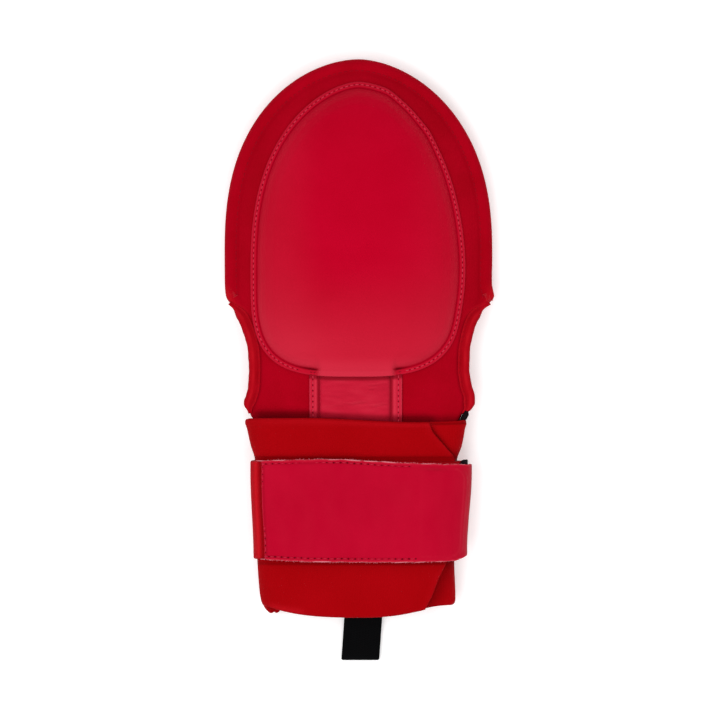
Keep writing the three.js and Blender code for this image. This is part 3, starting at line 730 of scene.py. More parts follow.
crimson_thread = thread_material("crimson_thread", (0.40, 0.003, 0.013))
binding_thread = thread_material("binding_thread", (0.46, 0.004, 0.012))
# Needle holes are painted shade: flattened dark beads where the thread sinks in
needle_hole_shade = thread_material("needle_hole_shade", (0.17, 0.0006, 0.005))


def shell_edge_line(inset):
    """Points at an inset inside the shell's edge, from the left thumb hole round the fingers."""
    sides = np.linspace(34, FINGERTIP_START_Y, 12)[:-1]
    fan = np.linspace(0, math.pi / 2, 130)
    right = side_and_tip("right", sides, fan)
    edge = np.concatenate([side_and_tip("left", sides, fan), right[-2::-1]])
    along = np.gradient(edge, axis=0)
    inward = np.stack([along[:, 1], -along[:, 0]], -1) / np.linalg.norm(along, axis=1)[:, None]
    return edge + inward * inset


topstitch_place = shell_edge_line(TOPSTITCH_INSET)
for seed, name, height_at, lift in ((1, "back", back_top, -0.3), (2, "palm", palm_under, 0.3)):
    topstitch = on_surface(height_at, topstitch_place, lift)
    sew(f"{name}_topstitch", topstitch, crimson_thread, pitch=2.9, length=2.3, radius=0.27, seed=seed)

# Thumb-hole bindings: bright red jersey folded over the cut edges of both panels, rolled to about
# 4 mm and sewn down along its inner side, with a bar tack at the upper corner of each hole.
HEM_WIDTH = 3.9
HEM_THICKNESS = 4.2
HEM_GAP = 0.3
# Where the bindings of each side begin and end
HEM_ENDS = {"left": (29.5, -27.5), "right": (29.5, -27.6)}
HEM_TAPER = 6.0
HEM_ROWS = 110
HEM_STITCH_INSET = 1.25
# Rows of the binding beyond its first and its last stitch
HEM_STITCH_STOP = 6

binding = cloth_material(
    "bright_red_binding", (0.35, 0.001, 0.005), (0.42, 0.0024, 0.0095), 0.7, 0.1, 0.8, 0.04,
    cloud_size=8.0, wear_and_highlight=(0.49, 0.006, 0.013),
)
bright_thread = thread_material("bright_thread", (0.56, 0.018, 0.03))

# Section of a binding, from its lip on the panel, over the roll and back under it: share of the
# width out from the panel's edge, distance in onto the panel, height above the wall's middle as a
# share of the half thickness, height above the panel's own face, its painted shade and its painted highlight
HEM_SECTION = [
    (0, 1.9, 0, 0.03, 0.45, 0),
    (0, 1.75, 0, 0.2, 0.1, 0.1),
    (0, 1.45, 0, 0.36, 0, 0.4),
    (0, 1.05, 0, 0.38, 0, 0.3),
    (0, 0.65, 0, 0.24, 0.1, 0),
    (0, 0.3, 0, 0.16, 0.25, 0),
    (0.05, 0, 0.8, 0, 0.1, 0),
    (0.16, 0, 0.93, 0, 0, 0.2),
    (0.3, 0, 1.03, 0, 0, 0.75),
    (0.45, 0, 1.06, 0, 0, 0.7),
    (0.58, 0, 1.03, 0, 0, 0.35),
    (0.7, 0, 0.94, 0, 0, 0.1),
    (0.82, 0, 0.78, 0, 0, 0),
    (0.91, 0, 0.55, 0, 0.1, 0),
    (0.98, 0, 0.25, 0, 0.35, 0),
    (1.0, 0, -0.15, 0, 0.4, 0),
    (0.95, 0, -0.5, 0, 0.3, 0),
    (0.82, 0, -0.8, 0, 0, 0),
    (0.6, 0, -0.97, 0, 0, 0),
    (0.35, 0, -1.0, 0, 0, 0),
    (0.12, 0, -0.9, 0, 0, 0),
    (0.0, 0, -0.6, 0, 0, 0),
    (0.0, 0, 0.5, 0, 0, 0),
    (0, 0.4, 0, 0.03, 0, 0),
    (0, 1.2, 0, 0.02, 0, 0),
]
HEM_TONE = np.array(HEM_SECTION)[:, 4:]


def hem_rings(side, height_at, wall_middle):
    """Rings round one binding and the line of its stitches."""
    hem_top, hem_bottom = HEM_ENDS[side]
    y = np.linspace(hem_top, hem_bottom, HEM_ROWS)
    up = 1 if wall_middle < 0 else -1
    edge_x = side_edge(y, side)
    edge = np.stack([edge_x, y], -1)
    slope = side_edge(y + 0.5, side) - side_edge(y - 0.5, side)
    outward = np.stack([np.ones_like(y), -slope], -1) / np.sqrt(1 + slope**2)[:, None]
    outward *= -1 if side == "left" else 1
    opening = back_top(edge_x, y) - palm_under(edge_x, y) - 2 * SHELL_WALL - SEAM_GAP
    half_thick = np.minimum(HEM_THICKNESS / 2, SHELL_WALL / 2 + np.maximum(opening, 0) * 0.4)
    full = ease(hem_top, hem_top - HEM_TAPER, y) * ease(hem_bottom, hem_bottom + HEM_TAPER, y)
    width = HEM_WIDTH * (0.2 + 0.8 * full)
    lip_share = 0.4 + 0.6 * full
    pucker = 0.05 * np.sin(y * 1.3) + 0.06 * np.sin(y * 0.47 + 1)
    rings = []
    for out, inward, round_share, lip, _, _ in HEM_SECTION:
        if inward == 0:
            place = edge + outward * (HEM_GAP + out * (width + pucker))[:, None]
            level = height_at(edge_x, y) + wall_middle + up * round_share * half_thick * (1 + 0.25 * pucker)
            rings.append(np.column_stack([place, level]))
        else:
            lift = up * lip * (0.3 + 0.7 * full) * (1 + 0.8 * pucker)
            rings.append(on_surface(height_at, edge - outward * (inward * lip_share)[:, None], lift))
    rings = np.stack(rings + rings[:1], 1)
    sewn_at = edge - outward * (HEM_STITCH_INSET * lip_share)[:, None]
    stitch_line = on_surface(height_at, sewn_at, up * 0.42 * full)
    return rings, stitch_line[HEM_STITCH_STOP:-HEM_STITCH_STOP]


def capped_tube(name, rings, material, tones):
    """A closed bar through rings of points, each closed on itself, capped at each end."""
    rows, sides = rings.shape[0], rings.shape[1] - 1
    points = rings[:, :-1].reshape(-1, 3)
    index = np.arange(rows * sides).reshape(rows, sides)
    wrapped = np.concatenate([index, index[:, :1]], 1)
    quads = np.stack([wrapped[:-1, :-1], wrapped[:-1, 1:], wrapped[1:, 1:], wrapped[1:, :-1]], -1)
    caps = [index[0][::-1].tolist(), index[-1].tolist()]
    return plain_mesh(name, points, quads.reshape(-1, 4).tolist() + caps, material, tones=tones)


HEM_NODES = [
    ("left", "thumb_hem", back_top, -SHELL_WALL / 2),
    ("right", "thumb_hem", back_top, -SHELL_WALL / 2),
    ("left", "palm_hem", palm_under, SHELL_WALL / 2),
    ("right", "palm_hem", palm_under, SHELL_WALL / 2),
]
for number, (side, kind, height_at, wall_middle) in enumerate(HEM_NODES):
    rings, stitch_line = hem_rings(side, height_at, wall_middle)
    along_hem = 0.75 + 0.25 * np.sin(rings[:, :1, 1] * 0.55 + number)
    hem_tones = {"painted_shade": HEM_TONE[None, :, 0] * along_hem, "wear_and_highlight": HEM_TONE[None, :, 1] * along_hem}
    hem = capped_tube(f"{side}_{kind}_binding", rings, binding, hem_tones)
    dress(hem, f"{side}_{kind}")
    sew(f"{side}_{kind}_stitches", stitch_line, binding_thread, pitch=2.6, length=1.7, radius=0.2,
        seed=5 + number)

# Bar tacks: a slanting bar of close zigzag stitches in brighter thread at the upper corner of each
# hole, sewn through the end of the binding, where the thumb pulls on it.
TACK_WIDTH = 2.4
TACK_STEPS = 12
TACK_LIFT = 0.12
# Where each bar tack starts and ends: x, y, x, y
TACKS = {"left": (-67.7, 36.2, -64.3, 32.4), "right": (64.6, 34.3, 67.0, 30.2)}
for number, (side, (from_x, from_y, to_x, to_y)) in enumerate(TACKS.items()):
    bar = np.array([to_x - from_x, to_y - from_y])
    beside = np.array([-bar[1], bar[0]]) / np.linalg.norm(bar) * TACK_WIDTH / 2
    turns = np.where(np.arange(TACK_STEPS) % 2, 1, -1)[:, None]
    zigzag = np.array([from_x, from_y]) + np.linspace(0, 1, TACK_STEPS)[:, None] * bar + turns * beside
    rolled_down = rounding(MIDDLE_X + 70 - np.abs(zigzag[:, 0]), ROLL_RADIUS)
    tack_line = on_surface(back_top, zigzag, TACK_LIFT - rolled_down)
    sew(f"{side}_bar_tack", tack_line, bright_thread, pitch=0.9, length=1.2, radius=0.24,
        seed=20 + number, stray=0.25)

# Back pad: smooth raspberry leather over foam and a stiff plate, with a narrow flange that is sewn
# to the shell. At the wrist side the leather is left free as a slot, and its lip overhangs the strip.
PAD_CENTRE = np.array([-1.0, 46.0])
PAD_HALF_WIDTH = 55.3
PAD_REACH_UP = 97.1
PAD_REACH_DOWN = 54.6
PAD_SEAT = 0.35
PAD_SIDES = 300
PAD_STITCH_INSET = 1.6
GROOVE_INSET = 3.25
SLOT_LEFT, SLOT_RIGHT = -21.5, 17.5
SLOT_LIFT = 2.9
# Sewn profile of the pad: inset from its edge, thickness
PAD_PROFILE = [
    (0, 0.55), (0.3, 1.05), (0.75, 1.25), (1.2, 1.2), (1.6, 1.0), (2.0, 1.2), (2.6, 1.2), (2.95, 0.85),
    (3.25, 0.65), (3.6, 1.0), (4.3, 2.2), (5.6, 3.6), (7.8, 4.9), (12, 6.3), (19, 7.1), (30, 7.6), (48, 7.8),
]
# Profile over the free lip of the slot: inset, thickness
LIP_PROFILE = [
    (0, 0.5), (0.25, 1.0), (0.8, 1.3), (1.8, 1.6), (4, 2.4), (8.8, 4.2), (14, 6.0), (20, 6.9), (30, 7.5),
    (48, 7.8),
]


def leather_material(name, dark, light, roughness, crease_depth, grain_depth, shine=0.22):
    """Smooth dyed leather: pebbled grain, fine creases, clouded dye tinted by painted shade and paler for
    wear and painted highlights, and a satin finish.
    """
    material, tree, shader = new_material(name)
    pebbles = add_node(tree, "ShaderNodeTexVoronoi", {
        "Vector": surface_map(tree), "Scale": 1.1, "Randomness": 1.0,
    }, feature="DISTANCE_TO_EDGE")
    pores = add_node(tree, "ShaderNodeMapRange", {"Value": pebbles.outputs["Distance"], "From Max": 0.25})
    grain = relief_normal(tree, pores.outputs["Result"], grain_depth, 0.35)
    stretched = add_node(tree, "ShaderNodeMapping", {
        "Vector": surface_map(tree, 5.0), "Scale": (0.5, 1.6, 1.0),
    }).outputs["Vector"]
    creases = add_node(tree, "ShaderNodeTexNoise", {
        "Vector": stretched, "Scale": 1.0, "Detail": 5, "Roughness": 0.65, "Distortion": 0.8,
    }).outputs["Fac"]
    gloss = add_node(tree, "ShaderNodeMapRange", {
        "Value": creases, "To Min": roughness - 0.05, "To Max": roughness + 0.07,
    })
    fill(tree, shader, {
        "Base Color": dyed(tree, dark, light, 38.0, 0.15, (0.63, 0.03, 0.06), (0.2, 0.0008, 0.006)),
        "Normal": relief_normal(tree, creases, crease_depth, 0.5, grain),
        "Roughness": gloss.outputs["Result"],
        "Specular IOR Level": shine,
        "Specular Tint": (1, 0.1, 0.16, 1),
    })
    return material


pad_leather = leather_material(
    "raspberry_leather", (0.46, 0.0001, 0.0138), (0.505, 0.0006, 0.0185), 0.5, 0.22, 0.05, 0.08,
)

# Powers of the four quarters of the pad's outline: upper left, upper right, lower left, lower right
PAD_SIDEWAYS = [1.6, 1.87, 3.5, 3.05]
PAD_UPRIGHT = [2.35, 1.8, 3.5, 3.05]
# Where the two soft corners of the outline stand out
PAD_CORNERS = [(14.5, 138.5), (37.5, 117.5)]


def pad_edge(angle):
    """The pad's egg-shaped outline: full shoulders, two soft corners and a squarer wrist end."""
    cosine, sine = np.cos(angle), np.sin(angle)
    quarters = [(sine > 0) & (cosine < 0), sine > 0, cosine < 0]
    sideways = np.select(quarters, PAD_SIDEWAYS[:3], PAD_SIDEWAYS[3])
    upright = np.select(quarters, PAD_UPRIGHT[:3], PAD_UPRIGHT[3])
    reach = np.where(sine > 0, PAD_REACH_UP, PAD_REACH_DOWN)
    x = PAD_CENTRE[0] + PAD_HALF_WIDTH * signed_power(cosine, 2 / sideways)
    y = PAD_CENTRE[1] + reach * signed_power(sine, 2 / upright)
    corner = 0.7 * sum(np.exp(-((x - at_x) ** 2 + (y - at_y) ** 2) / 30) for at_x, at_y in PAD_CORNERS)
    outward = np.stack([x, y], -1) - PAD_CENTRE
    outward /= np.linalg.norm(outward, axis=-1)[..., None]
    shoulder = 1.3 * np.sin(2 * angle) ** 2 * (sine > 0)
    waist = 1.2 * bump(23, 14, y) * (x > 20)
    return np.stack([x, y], -1) + outward * (corner + shoulder - waist)[..., None]


def drawn_in(outline, inset):
    """An outline of the pad drawn in toward its centre by an inset."""
    spokes = outline - PAD_CENTRE
    return PAD_CENTRE + spokes * (1 - inset / np.linalg.norm(spokes, axis=1))[:, None]


def pad_lower_edge(x):
    """Where the pad's wrist-side edge crosses a place x."""
    roundness = np.where(x < PAD_CENTRE[0], PAD_SIDEWAYS[2], PAD_SIDEWAYS[3])
    share = np.abs(x - PAD_CENTRE[0]) / PAD_HALF_WIDTH
    return PAD_CENTRE[1] - PAD_REACH_DOWN * (1 - share**roundness) ** (1 / roundness)


def slot_share(x, y):
    """1 along the free lip of the pad's slot and 0 where the flange is sewn."""
    past_left = ease(SLOT_LEFT - 1.2, SLOT_LEFT + 1.2, x)
    past_right = ease(SLOT_RIGHT - 1.2, SLOT_RIGHT + 1.2, x)
    return past_left * (1 - past_right) * (y < PAD_CENTRE[1])


pad_angles = np.linspace(0, 2 * math.pi, PAD_SIDES + 1)[:-1]
pad_outline = pad_edge(pad_angles)
pad_insets = np.concatenate([
    [0, 0.15, 0.3, 0.5, 0.75, 1.0, 1.2, 1.4, 1.6, 1.8, 2.0, 2.3, 2.6, 2.8, 2.95, 3.1, GROOVE_INSET, 3.4, 3.6],
    [3.9, 4.3, 4.8], np.arange(5.2, 9, 0.5), np.arange(9, 16, 1.0), np.arange(16, 26, 2.0),
])
pad_rings = [drawn_in(pad_outline, inset) for inset in pad_insets]
last_inset_ring = pad_rings[-1]
for inward in np.linspace(0, 1, 22)[1:-1]:
    pad_rings.append(PAD_CENTRE + (last_inset_ring - PAD_CENTRE) * (1 - inward))
pad_rings = np.array(pad_rings)
pad_x, pad_y = pad_rings[..., 0], pad_rings[..., 1]
pad_inset = np.linalg.norm(pad_rings - pad_outline[None], axis=2)
pad_slot = slot_share(pad_x, pad_y) * (1 - ease(9, 24, pad_inset))
sewn_height = np.interp(pad_inset, *zip(*PAD_PROFILE))
lip_height = np.interp(pad_inset, *zip(*LIP_PROFILE)) + SLOT_LIFT * (1 - ease(3, 16, pad_inset))
pad_swell = ripple(pad_x, pad_y, 0, 30, 3) * 0.4 + ripple(pad_x * 0.6, pad_y * 1.5, 0, 7, 4) * 0.14
pad_thick = sewn_height * (1 - pad_slot) + lip_height * pad_slot + pad_swell * ease(5, 12, pad_inset)
pad_base = back_top(pad_x, pad_y) + PAD_SEAT
pad_lift = SLOT_LIFT * slot_share(pad_x, pad_y) * (1 - ease(2.5, 7, pad_inset))
pad_top_points = np.stack([pad_x, pad_y, pad_base + pad_thick], -1)
pad_bottom_points = np.stack([pad_x, pad_y, pad_base + pad_lift], -1)

ring_count = len(pad_rings)

# The leather cover swells over its foam. A coarse copy of the pad, held in its groove and beneath,
# is blown up as cloth, and the fine rings follow it.
SWELL_SIDES = 60
SWELL_RING_STEP = 3
SWELL_FRAMES = 20
SWELL_MOST = 1.6


def pad_faces_between(sides, rings):
    """Faces of a closed pad: rings of the top, then rings beneath, then a middle point for each."""
    top = np.arange(rings * sides).reshape(rings, sides)
    low = top + rings * sides
    top_next, low_next = np.roll(top, -1, axis=1), np.roll(low, -1, axis=1)
    quads = [
        np.stack([top[:-1], top_next[:-1], top_next[1:], top[1:]], -1).reshape(-1, 4),
        np.stack([low[:-1], low[1:], low_next[1:], low_next[:-1]], -1).reshape(-1, 4),
        np.stack([low[0], low_next[0], top_next[0], top[0]], -1),
    ]
    middle = 2 * rings * sides
    fans = [
        np.stack([np.full(sides, middle), top[-1], top_next[-1]], -1),
        np.stack([np.full(sides, middle + 1), low_next[-1], low[-1]], -1),
    ]
    return [face for group in quads + fans for face in group.tolist()]


def pad_vertices(top, low):
    """The points of a closed pad in the order of its faces."""
    middles = [[*PAD_CENTRE, float(top[-1, :, 2].mean())], [*PAD_CENTRE, float(low[-1, :, 2].mean())]]
    return np.concatenate([top.reshape(-1, 3), low.reshape(-1, 3), middles])


def swell_of_pad():
    """How far the blown-up cover has moved at each point of the pad's fine rings."""
    groove = int(np.searchsorted(pad_insets, GROOVE_INSET))
    kept = np.unique(np.append(np.arange(groove, ring_count, SWELL_RING_STEP), ring_count - 1))
    side_step = PAD_SIDES // SWELL_SIDES
    coarse = [points[kept][:, ::side_step] for points in (pad_top_points, pad_bottom_points)]
    start = (pad_vertices(*coarse) + SHIFT) * MM
    mesh = bpy.data.meshes.new("swelling")
    mesh.from_pydata(start.tolist(), [], pad_faces_between(SWELL_SIDES, len(kept)))
    cover = bpy.data.objects.new("swelling", mesh)
    scene.collection.objects.link(cover)
    held = cover.vertex_groups.new(name="held")
    top_count = len(kept) * SWELL_SIDES
    held.add([*range(SWELL_SIDES), *range(top_count, 2 * top_count), 2 * top_count + 1], 1.0, "REPLACE")
    cloth = cover.modifiers.new("cloth", "CLOTH")
    cloth.settings.vertex_group_mass = "held"
    cloth.settings.quality = 6
    cloth.settings.tension_stiffness = 60
    cloth.settings.compression_stiffness = 60
    cloth.settings.bending_stiffness = 8
    cloth.settings.use_pressure = True
    cloth.settings.uniform_pressure_force = 10
    cloth.settings.effector_weights.gravity = 0
    cloth.collision_settings.use_collision = False
    cloth.point_cache.frame_end = SWELL_FRAMES
    for frame_number in range(1, SWELL_FRAMES + 1):
        scene.frame_set(frame_number)
    blown = cover.evaluated_get(bpy.context.evaluated_depsgraph_get())
    ended = np.zeros(len(start) * 3)
    blown.data.vertices.foreach_get("co", ended)
    moved = ((ended.reshape(-1, 3) - start) / MM)[:top_count].reshape(len(kept), SWELL_SIDES, 3)
    bpy.data.objects.remove(cover)
    bpy.data.meshes.remove(mesh)
    scene.frame_set(1)
    furthest = np.linalg.norm(moved, axis=2).max()
    moved *= min(1, SWELL_MOST / max(furthest, 1e-6))
    rows = np.stack([
        [np.interp(np.arange(ring_count), kept, moved[:, side, axis], left=0) for side in range(SWELL_SIDES)]
        for axis in range(3)
    ])
    places, sides = np.arange(PAD_SIDES) / side_step, np.arange(SWELL_SIDES)
    return np.stack([
        [np.interp(places, sides, rows[axis, :, ring], period=SWELL_SIDES) for ring in range(ring_count)]
        for axis in range(3)
    ], -1)


pad_top_points = pad_top_points + swell_of_pad()
pad_points = pad_vertices(pad_top_points, pad_bottom_points)
pad_faces = pad_faces_between(PAD_SIDES, ring_count)
pad_sewn = 1 - slot_share(pad_x, pad_y)
near_slot = (bump(SLOT_LEFT - 4, 5, pad_x) + bump(SLOT_RIGHT + 2, 4, pad_x)) * (pad_y < PAD_CENTRE[1])
# A painted highlight makes the pad paler toward the wrist and the sides, most of all on its lip; its flange
# and cut edge are paler as well
pad_painted_highlight = 0.36 * ease(62, -2, pad_y) ** 1.4 + 0.3 * ease(3, -5, pad_y)
pad_painted_highlight += 0.13 * ease(-16, -43, pad_x) + 0.06 * ease(16, 42, pad_x)
pad_painted_highlight += 0.12 * bump(-30, 16, pad_x) * bump(5, 12, pad_y) + 0.05 * pad_swell
pad_painted_highlight *= 1 - 0.55 * pad_sewn * ease(12, 4, pad_inset) * ease(30, 75, pad_y)
pad_highlight_and_wear = pad_painted_highlight * np.maximum(ease(3.2, 4.4, pad_inset), 1 - pad_sewn)
pad_highlight_and_wear += 0.15 * ease(3.0, 2.6, pad_inset) + 0.16 * bump(0.3, 0.4, pad_inset)
# Painted shade in the groove inside the flange, deeper and wider toward the ends of the slot
pad_groove_shade = bump(GROOVE_INSET, 0.35, pad_inset) * 0.35 + bump(3.4, 0.8, pad_inset) * 0.75 * near_slot
pad_groove_shade *= pad_sewn
beneath = np.zeros(pad_inset.size + 2)
pad_tones = {
    "wear_and_highlight": np.concatenate([pad_highlight_and_wear.ravel(), beneath]),
    "painted_shade": np.concatenate([pad_groove_shade.ravel(), beneath]),
}
back_pad = plain_mesh("back_pad_leather", pad_points, pad_faces, pad_leather, tones=pad_tones)
dress(back_pad, "back_pad")

raspberry_thread = thread_material("raspberry_thread", (0.7, 0.05, 0.09))
lower_middle = 1.5 * math.pi
# The stitches go once round from one end of the slot to the other
stitch_angles = np.linspace(lower_middle + 0.32, lower_middle + 2 * math.pi - 0.42, 700)
pad_seam = on_surface(back_top, drawn_in(pad_edge(stitch_angles), PAD_STITCH_INSET), PAD_SEAT + 1.0)
sew("pad_stitches", pad_seam, raspberry_thread, pitch=2.7, length=1.75, radius=0.3,
    seed=3, hole=0.42)

# Bridge strip: the same leather, creased from bending, from under the pad's lip into the cuff. Two
# sewn flanges stand beside a raised middle.
STRIP_LEFT = -26.0
STRIP_RIGHT = 21.6
STRIP_BOTTOM_Y = -35.0
STRIP_TUCK = 3.0
STRIP_STITCH_INSET = 1.9
# Thickness across the strip: distance in from either long edge, thickness
STRIP_PROFILE = [
    (0, 0.6), (0.4, 1.1), (1.0, 1.2), (1.9, 1.0), (2.8, 1.2), (3.8, 1.15), (4.4, 0.5), (5.0, 0.5), (5.5, 1.6),
    (6.3, 2.25), (8, 2.45), (24.2, 2.5),
]
# Creases that the bending has left in the strip: x, y, half length, depth
STRIP_CREASES = [
    (-1.8, -22.4, 5.5, 0.5),
    (9.5, -12.6, 5.5, 0.35),
    (9.8, -23.4, 5, 0.35),
    (6.4, -14.9, 1.6, 0.4),
    (-14, -24, 5, 0.2),
]
# Columns of the strip's mesh, as distances in from either long edge
STRIP_COLUMNS = np.array([
    0, 0.2, 0.4, 0.7, 1.0, 1.4, 1.9, 2.4, 2.8, 3.3, 3.8, 4.1, 4.4, 4.7, 5.0, 5.25, 5.5, 5.9, 6.3, 7,
    *np.arange(8, 20.1, 1.5), 22, 24.2,
])

strip_leather = leather_material("creased_leather", (0.48, 0.006, 0.026), (0.56, 0.014, 0.04), 0.5, 0.5, 0.06)
strip_x_line = np.concatenate([STRIP_LEFT + STRIP_COLUMNS, STRIP_RIGHT - STRIP_COLUMNS[-2::-1]])
strip_share = np.linspace(0, 1, 60)[:, None]
strip_start = pad_lower_edge(strip_x_line)[None, :] + STRIP_TUCK
strip_y = strip_start + (STRIP_BOTTOM_Y - strip_start) * strip_share
strip_x = np.broadcast_to(strip_x_line[None, :], strip_y.shape)
# The right flange is the wider one
strip_edge = np.minimum(strip_x - STRIP_LEFT, (STRIP_RIGHT - strip_x) * 0.85)
strip_seat = back_top(strip_x, strip_y) + PAD_SEAT
strip_creases = ripple(strip_x * 0.35, strip_y * 1.7, 0, 4.5, 6) * 0.22
strip_creases += ripple(strip_x, strip_y, 0, 7, 7) * 0.15
# Each of the strip's creases gets painted shade along its line and a painted highlight just beside it, and
# the crinkles are painted paler and darker
strip_painted_shade = np.zeros(strip_y.shape)
strip_painted_highlight = np.zeros(strip_y.shape)
for crease_x, crease_y, half_length, depth in STRIP_CREASES:
    crease_line = crease_y + 0.5 * np.sin((strip_x - crease_x) / 2.2)
    crease_span = depth * np.exp(-(((strip_x - crease_x) / half_length) ** 4))
    strip_creases = strip_creases - crease_span * bump(crease_line, 0.5, strip_y)
    strip_painted_shade += 0.7 * crease_span * bump(crease_line, 0.35, strip_y)
    strip_painted_highlight += 0.8 * crease_span * bump(crease_line + 0.75, 0.4, strip_y)
crinkle = ripple(strip_x * 0.4, strip_y * 1.5, 0, 2.6, 9)
strip_painted_highlight += 0.3 * np.clip(crinkle, 0, 1)
strip_painted_shade += 0.2 * np.clip(-crinkle, 0, 1)
strip_thick = np.interp(strip_edge, *zip(*STRIP_PROFILE)) + strip_creases * ease(5.5, 8, strip_edge)
strip_top = np.stack([strip_x, strip_y, strip_seat + strip_thick], -1)
strip_bottom = np.stack([strip_x, strip_y, strip_seat], -1)
# Painted shadows under the pad's lip and under the cuff's rim, painted shade in the grooves beside the raised
# middle, and paler cut edges and flange bands
strip_lip_shadow = ease(2.6, 1.2, pad_lower_edge(strip_x) - strip_y)
strip_cuff_shadow = 0.66 * ease(4.4, 1.8, strip_y - cuff_rim(strip_x))
strip_groove_and_cuff_shade = np.maximum(bump(4.8, 0.6, strip_edge) * 0.8, strip_cuff_shadow)
strip_middle = ease(5.5, 7, strip_edge)
bridge_strip = wall_piece("bridge_strip_leather", strip_top, strip_bottom, strip_leather, tones={
    "wear_and_highlight": 0.8 * bump(0.3, 0.4, strip_edge) + 0.7 * bump(3.3, 0.8, strip_edge) + strip_painted_highlight * strip_middle,
    "painted_shade": np.maximum(strip_groove_and_cuff_shade, strip_lip_shadow * 0.8) + strip_painted_shade * strip_middle,
})
dress(bridge_strip, "bridge_strip")
for name, x in (("left", STRIP_LEFT + STRIP_STITCH_INSET), ("right", STRIP_RIGHT - STRIP_STITCH_INSET)):
    ends = [(x, pad_lower_edge(x) - 0.9), (x, STRIP_BOTTOM_Y + 1)]
    strip_seam = on_surface(back_top, np.linspace(*ends, 40), PAD_SEAT + 0.95)
    sew(f"strip_{name}_stitches", strip_seam, raspberry_thread, pitch=2.6, length=1.7, radius=0.28,
        seed=8, hole=0.46)

# Cuff: one sheet of matte red rib knit wrapped round the wrist end of the shell. Its free end laps
# over its start, and the rolled edge of the lap slants across the right side.
CUFF_WALL = 2.6
LAP_GAP = 0.4
LAP_HIDDEN_X = 24.5
CUFF_END_Y = -126.0
CUFF_END_BULGE = 6.1
# How fast the bulge dies away toward each side
BULGE_FADE = {"left": 1.8, "right": 4.2}
UPPER_ROUNDNESS = 2.7
LOWER_ROUNDNESS = 4.0
# A distance to an edge that isn't near
FAR = 99
# Stations of the cuff: y, left, right, bottom, top, x of the lap's edge
CUFF_STATIONS = [
    (-30.4, -59, 54.6, 0.6, 30.2, 36),
    (-36, -58, 54, 0.7, 29.8, 37.6),
    (-44, -56.2, 53, 1.3, 29, 43.9),
    (-51.5, -54.05, 51.85, 2.35, 28, 49.4),
    (-62, -54.05, 51.85, 2.35, 28, 50),
    (-77, -54.05, 51.85, 2.35, 28, 50),
    (-92, -54.05, 51.6, 2.35, 28, 49),
    (-103, -52.8, 49.8, 2.2, 27.8, 45.4),
    (-112, -52.2, 49.3, 1, 27.2, 41),
    (-120, -51.6, 49.2, 0.7, 26.4, 37.5),
    (-126, -50.2, 48.6, 0.6, 25.8, 34),
]
CUFF_LEFT, CUFF_RIGHT, CUFF_BOTTOM, CUFF_TOP, LAP_X = 1, 2, 3, 4, 5
# Angle over which the start of the sheet comes up from beneath the lap
DIP_SPAN = math.radians(55)
# Rows of the mesh near either rim, and its columns under the lap as shares of their span
RIM_STEPS = np.array([0, 0.25, 0.6, 1.0, 1.6, 2.4])
UNDER_SHARES = np.array([0, 0.01, 0.03, 0.07, *np.linspace(0.12, 0.88, 12), 0.93, 0.97, 0.99, 1])


def cuff_point(y, angle, inset):
    """A point of the cuff's oval section at y, drawn in from its outside by an inset."""
    columns = (CUFF_LEFT, CUFF_RIGHT, CUFF_BOTTOM, CUFF_TOP)
    left, right, bottom, top = (table_value(CUFF_STATIONS, y, column) for column in columns)
    cosine, sine = np.cos(angle), np.sin(angle)
    power = np.where(sine > 0, 2 / UPPER_ROUNDNESS, 2 / LOWER_ROUNDNESS)
    x = (left + right) / 2 + ((right - left) / 2 - inset) * signed_power(cosine, power)
    z = (bottom + top) / 2 + ((top - bottom) / 2 - inset) * signed_power(sine, power)
    return x, z


def cuff_angle(y, x):
    """Angle on the upper half of the section at which its outside stands at x."""
    left, right = table_value(CUFF_STATIONS, y, CUFF_LEFT), table_value(CUFF_STATIONS, y, CUFF_RIGHT)
    share = (x - (left + right) / 2) / ((right - left) / 2)
    return np.arccos(signed_power(share, UPPER_ROUNDNESS / 2))


knit = cloth_material(
    "red_rib_knit", (0.335, 0.0008, 0.002), (0.385, 0.0012, 0.0035), 0.9, 0.22, 0.92, 0.03,
    cloud_size=30.0, own_map=True, uneven=0.8,
)
between_rims = np.linspace(CUFF_TOP_Y - 3.5, CUFF_END_Y + 3.5, 90)
row_y = np.unique([*(CUFF_TOP_Y - RIM_STEPS), *between_rims, *(CUFF_END_Y + RIM_STEPS)])[::-1, None]
lap_x = table_value(CUFF_STATIONS, row_y, LAP_X)
lap_edge = cuff_angle(row_y, lap_x)
dip_start = lap_edge - DIP_SPAN
hidden_end = cuff_angle(row_y, LAP_HIDDEN_X)
under_lap = hidden_end + (lap_edge - hidden_end) * UNDER_SHARES[None, :]
dip = lap_edge - DIP_SPAN * np.linspace(0, 1, 17)[None, 1:]
around = dip_start + (hidden_end - 2 * math.pi - dip_start) * np.linspace(0, 1, 130)[None, 1:]
cuff_angles = np.concatenate([under_lap, dip, around, under_lap[:, 1:] - 2 * math.pi], 1)
cuff_y = np.broadcast_to(row_y, cuff_angles.shape)
dip_inset = (CUFF_WALL + LAP_GAP) * ease(dip_start, lap_edge - 0.1, cuff_angles)
from_ends = np.minimum(CUFF_TOP_Y - cuff_y, cuff_y - CUFF_END_Y)
plain_x, _ = cuff_point(cuff_y, cuff_angles, 0)
from_lap = np.where(cuff_angles < lap_edge - math.pi, lap_x - plain_x, FAR)
from_start = np.where(cuff_angles > dip_start, plain_x - LAP_HIDDEN_X, FAR)
lip = rounding(np.minimum(np.minimum(from_ends, np.abs(from_lap)), np.abs(from_start)), CUFF_WALL / 2)
lap_puff = 0.45 * bump(2.2, 1.6, from_lap)
edge_puff = 0.35 * bump(2.4, 1.6, from_ends)
cuff_waves = ripple(plain_x, cuff_y, 0, 24, 11) * 0.5 + ripple(plain_x, cuff_y * 0.5, 0, 9, 12) * 0.18
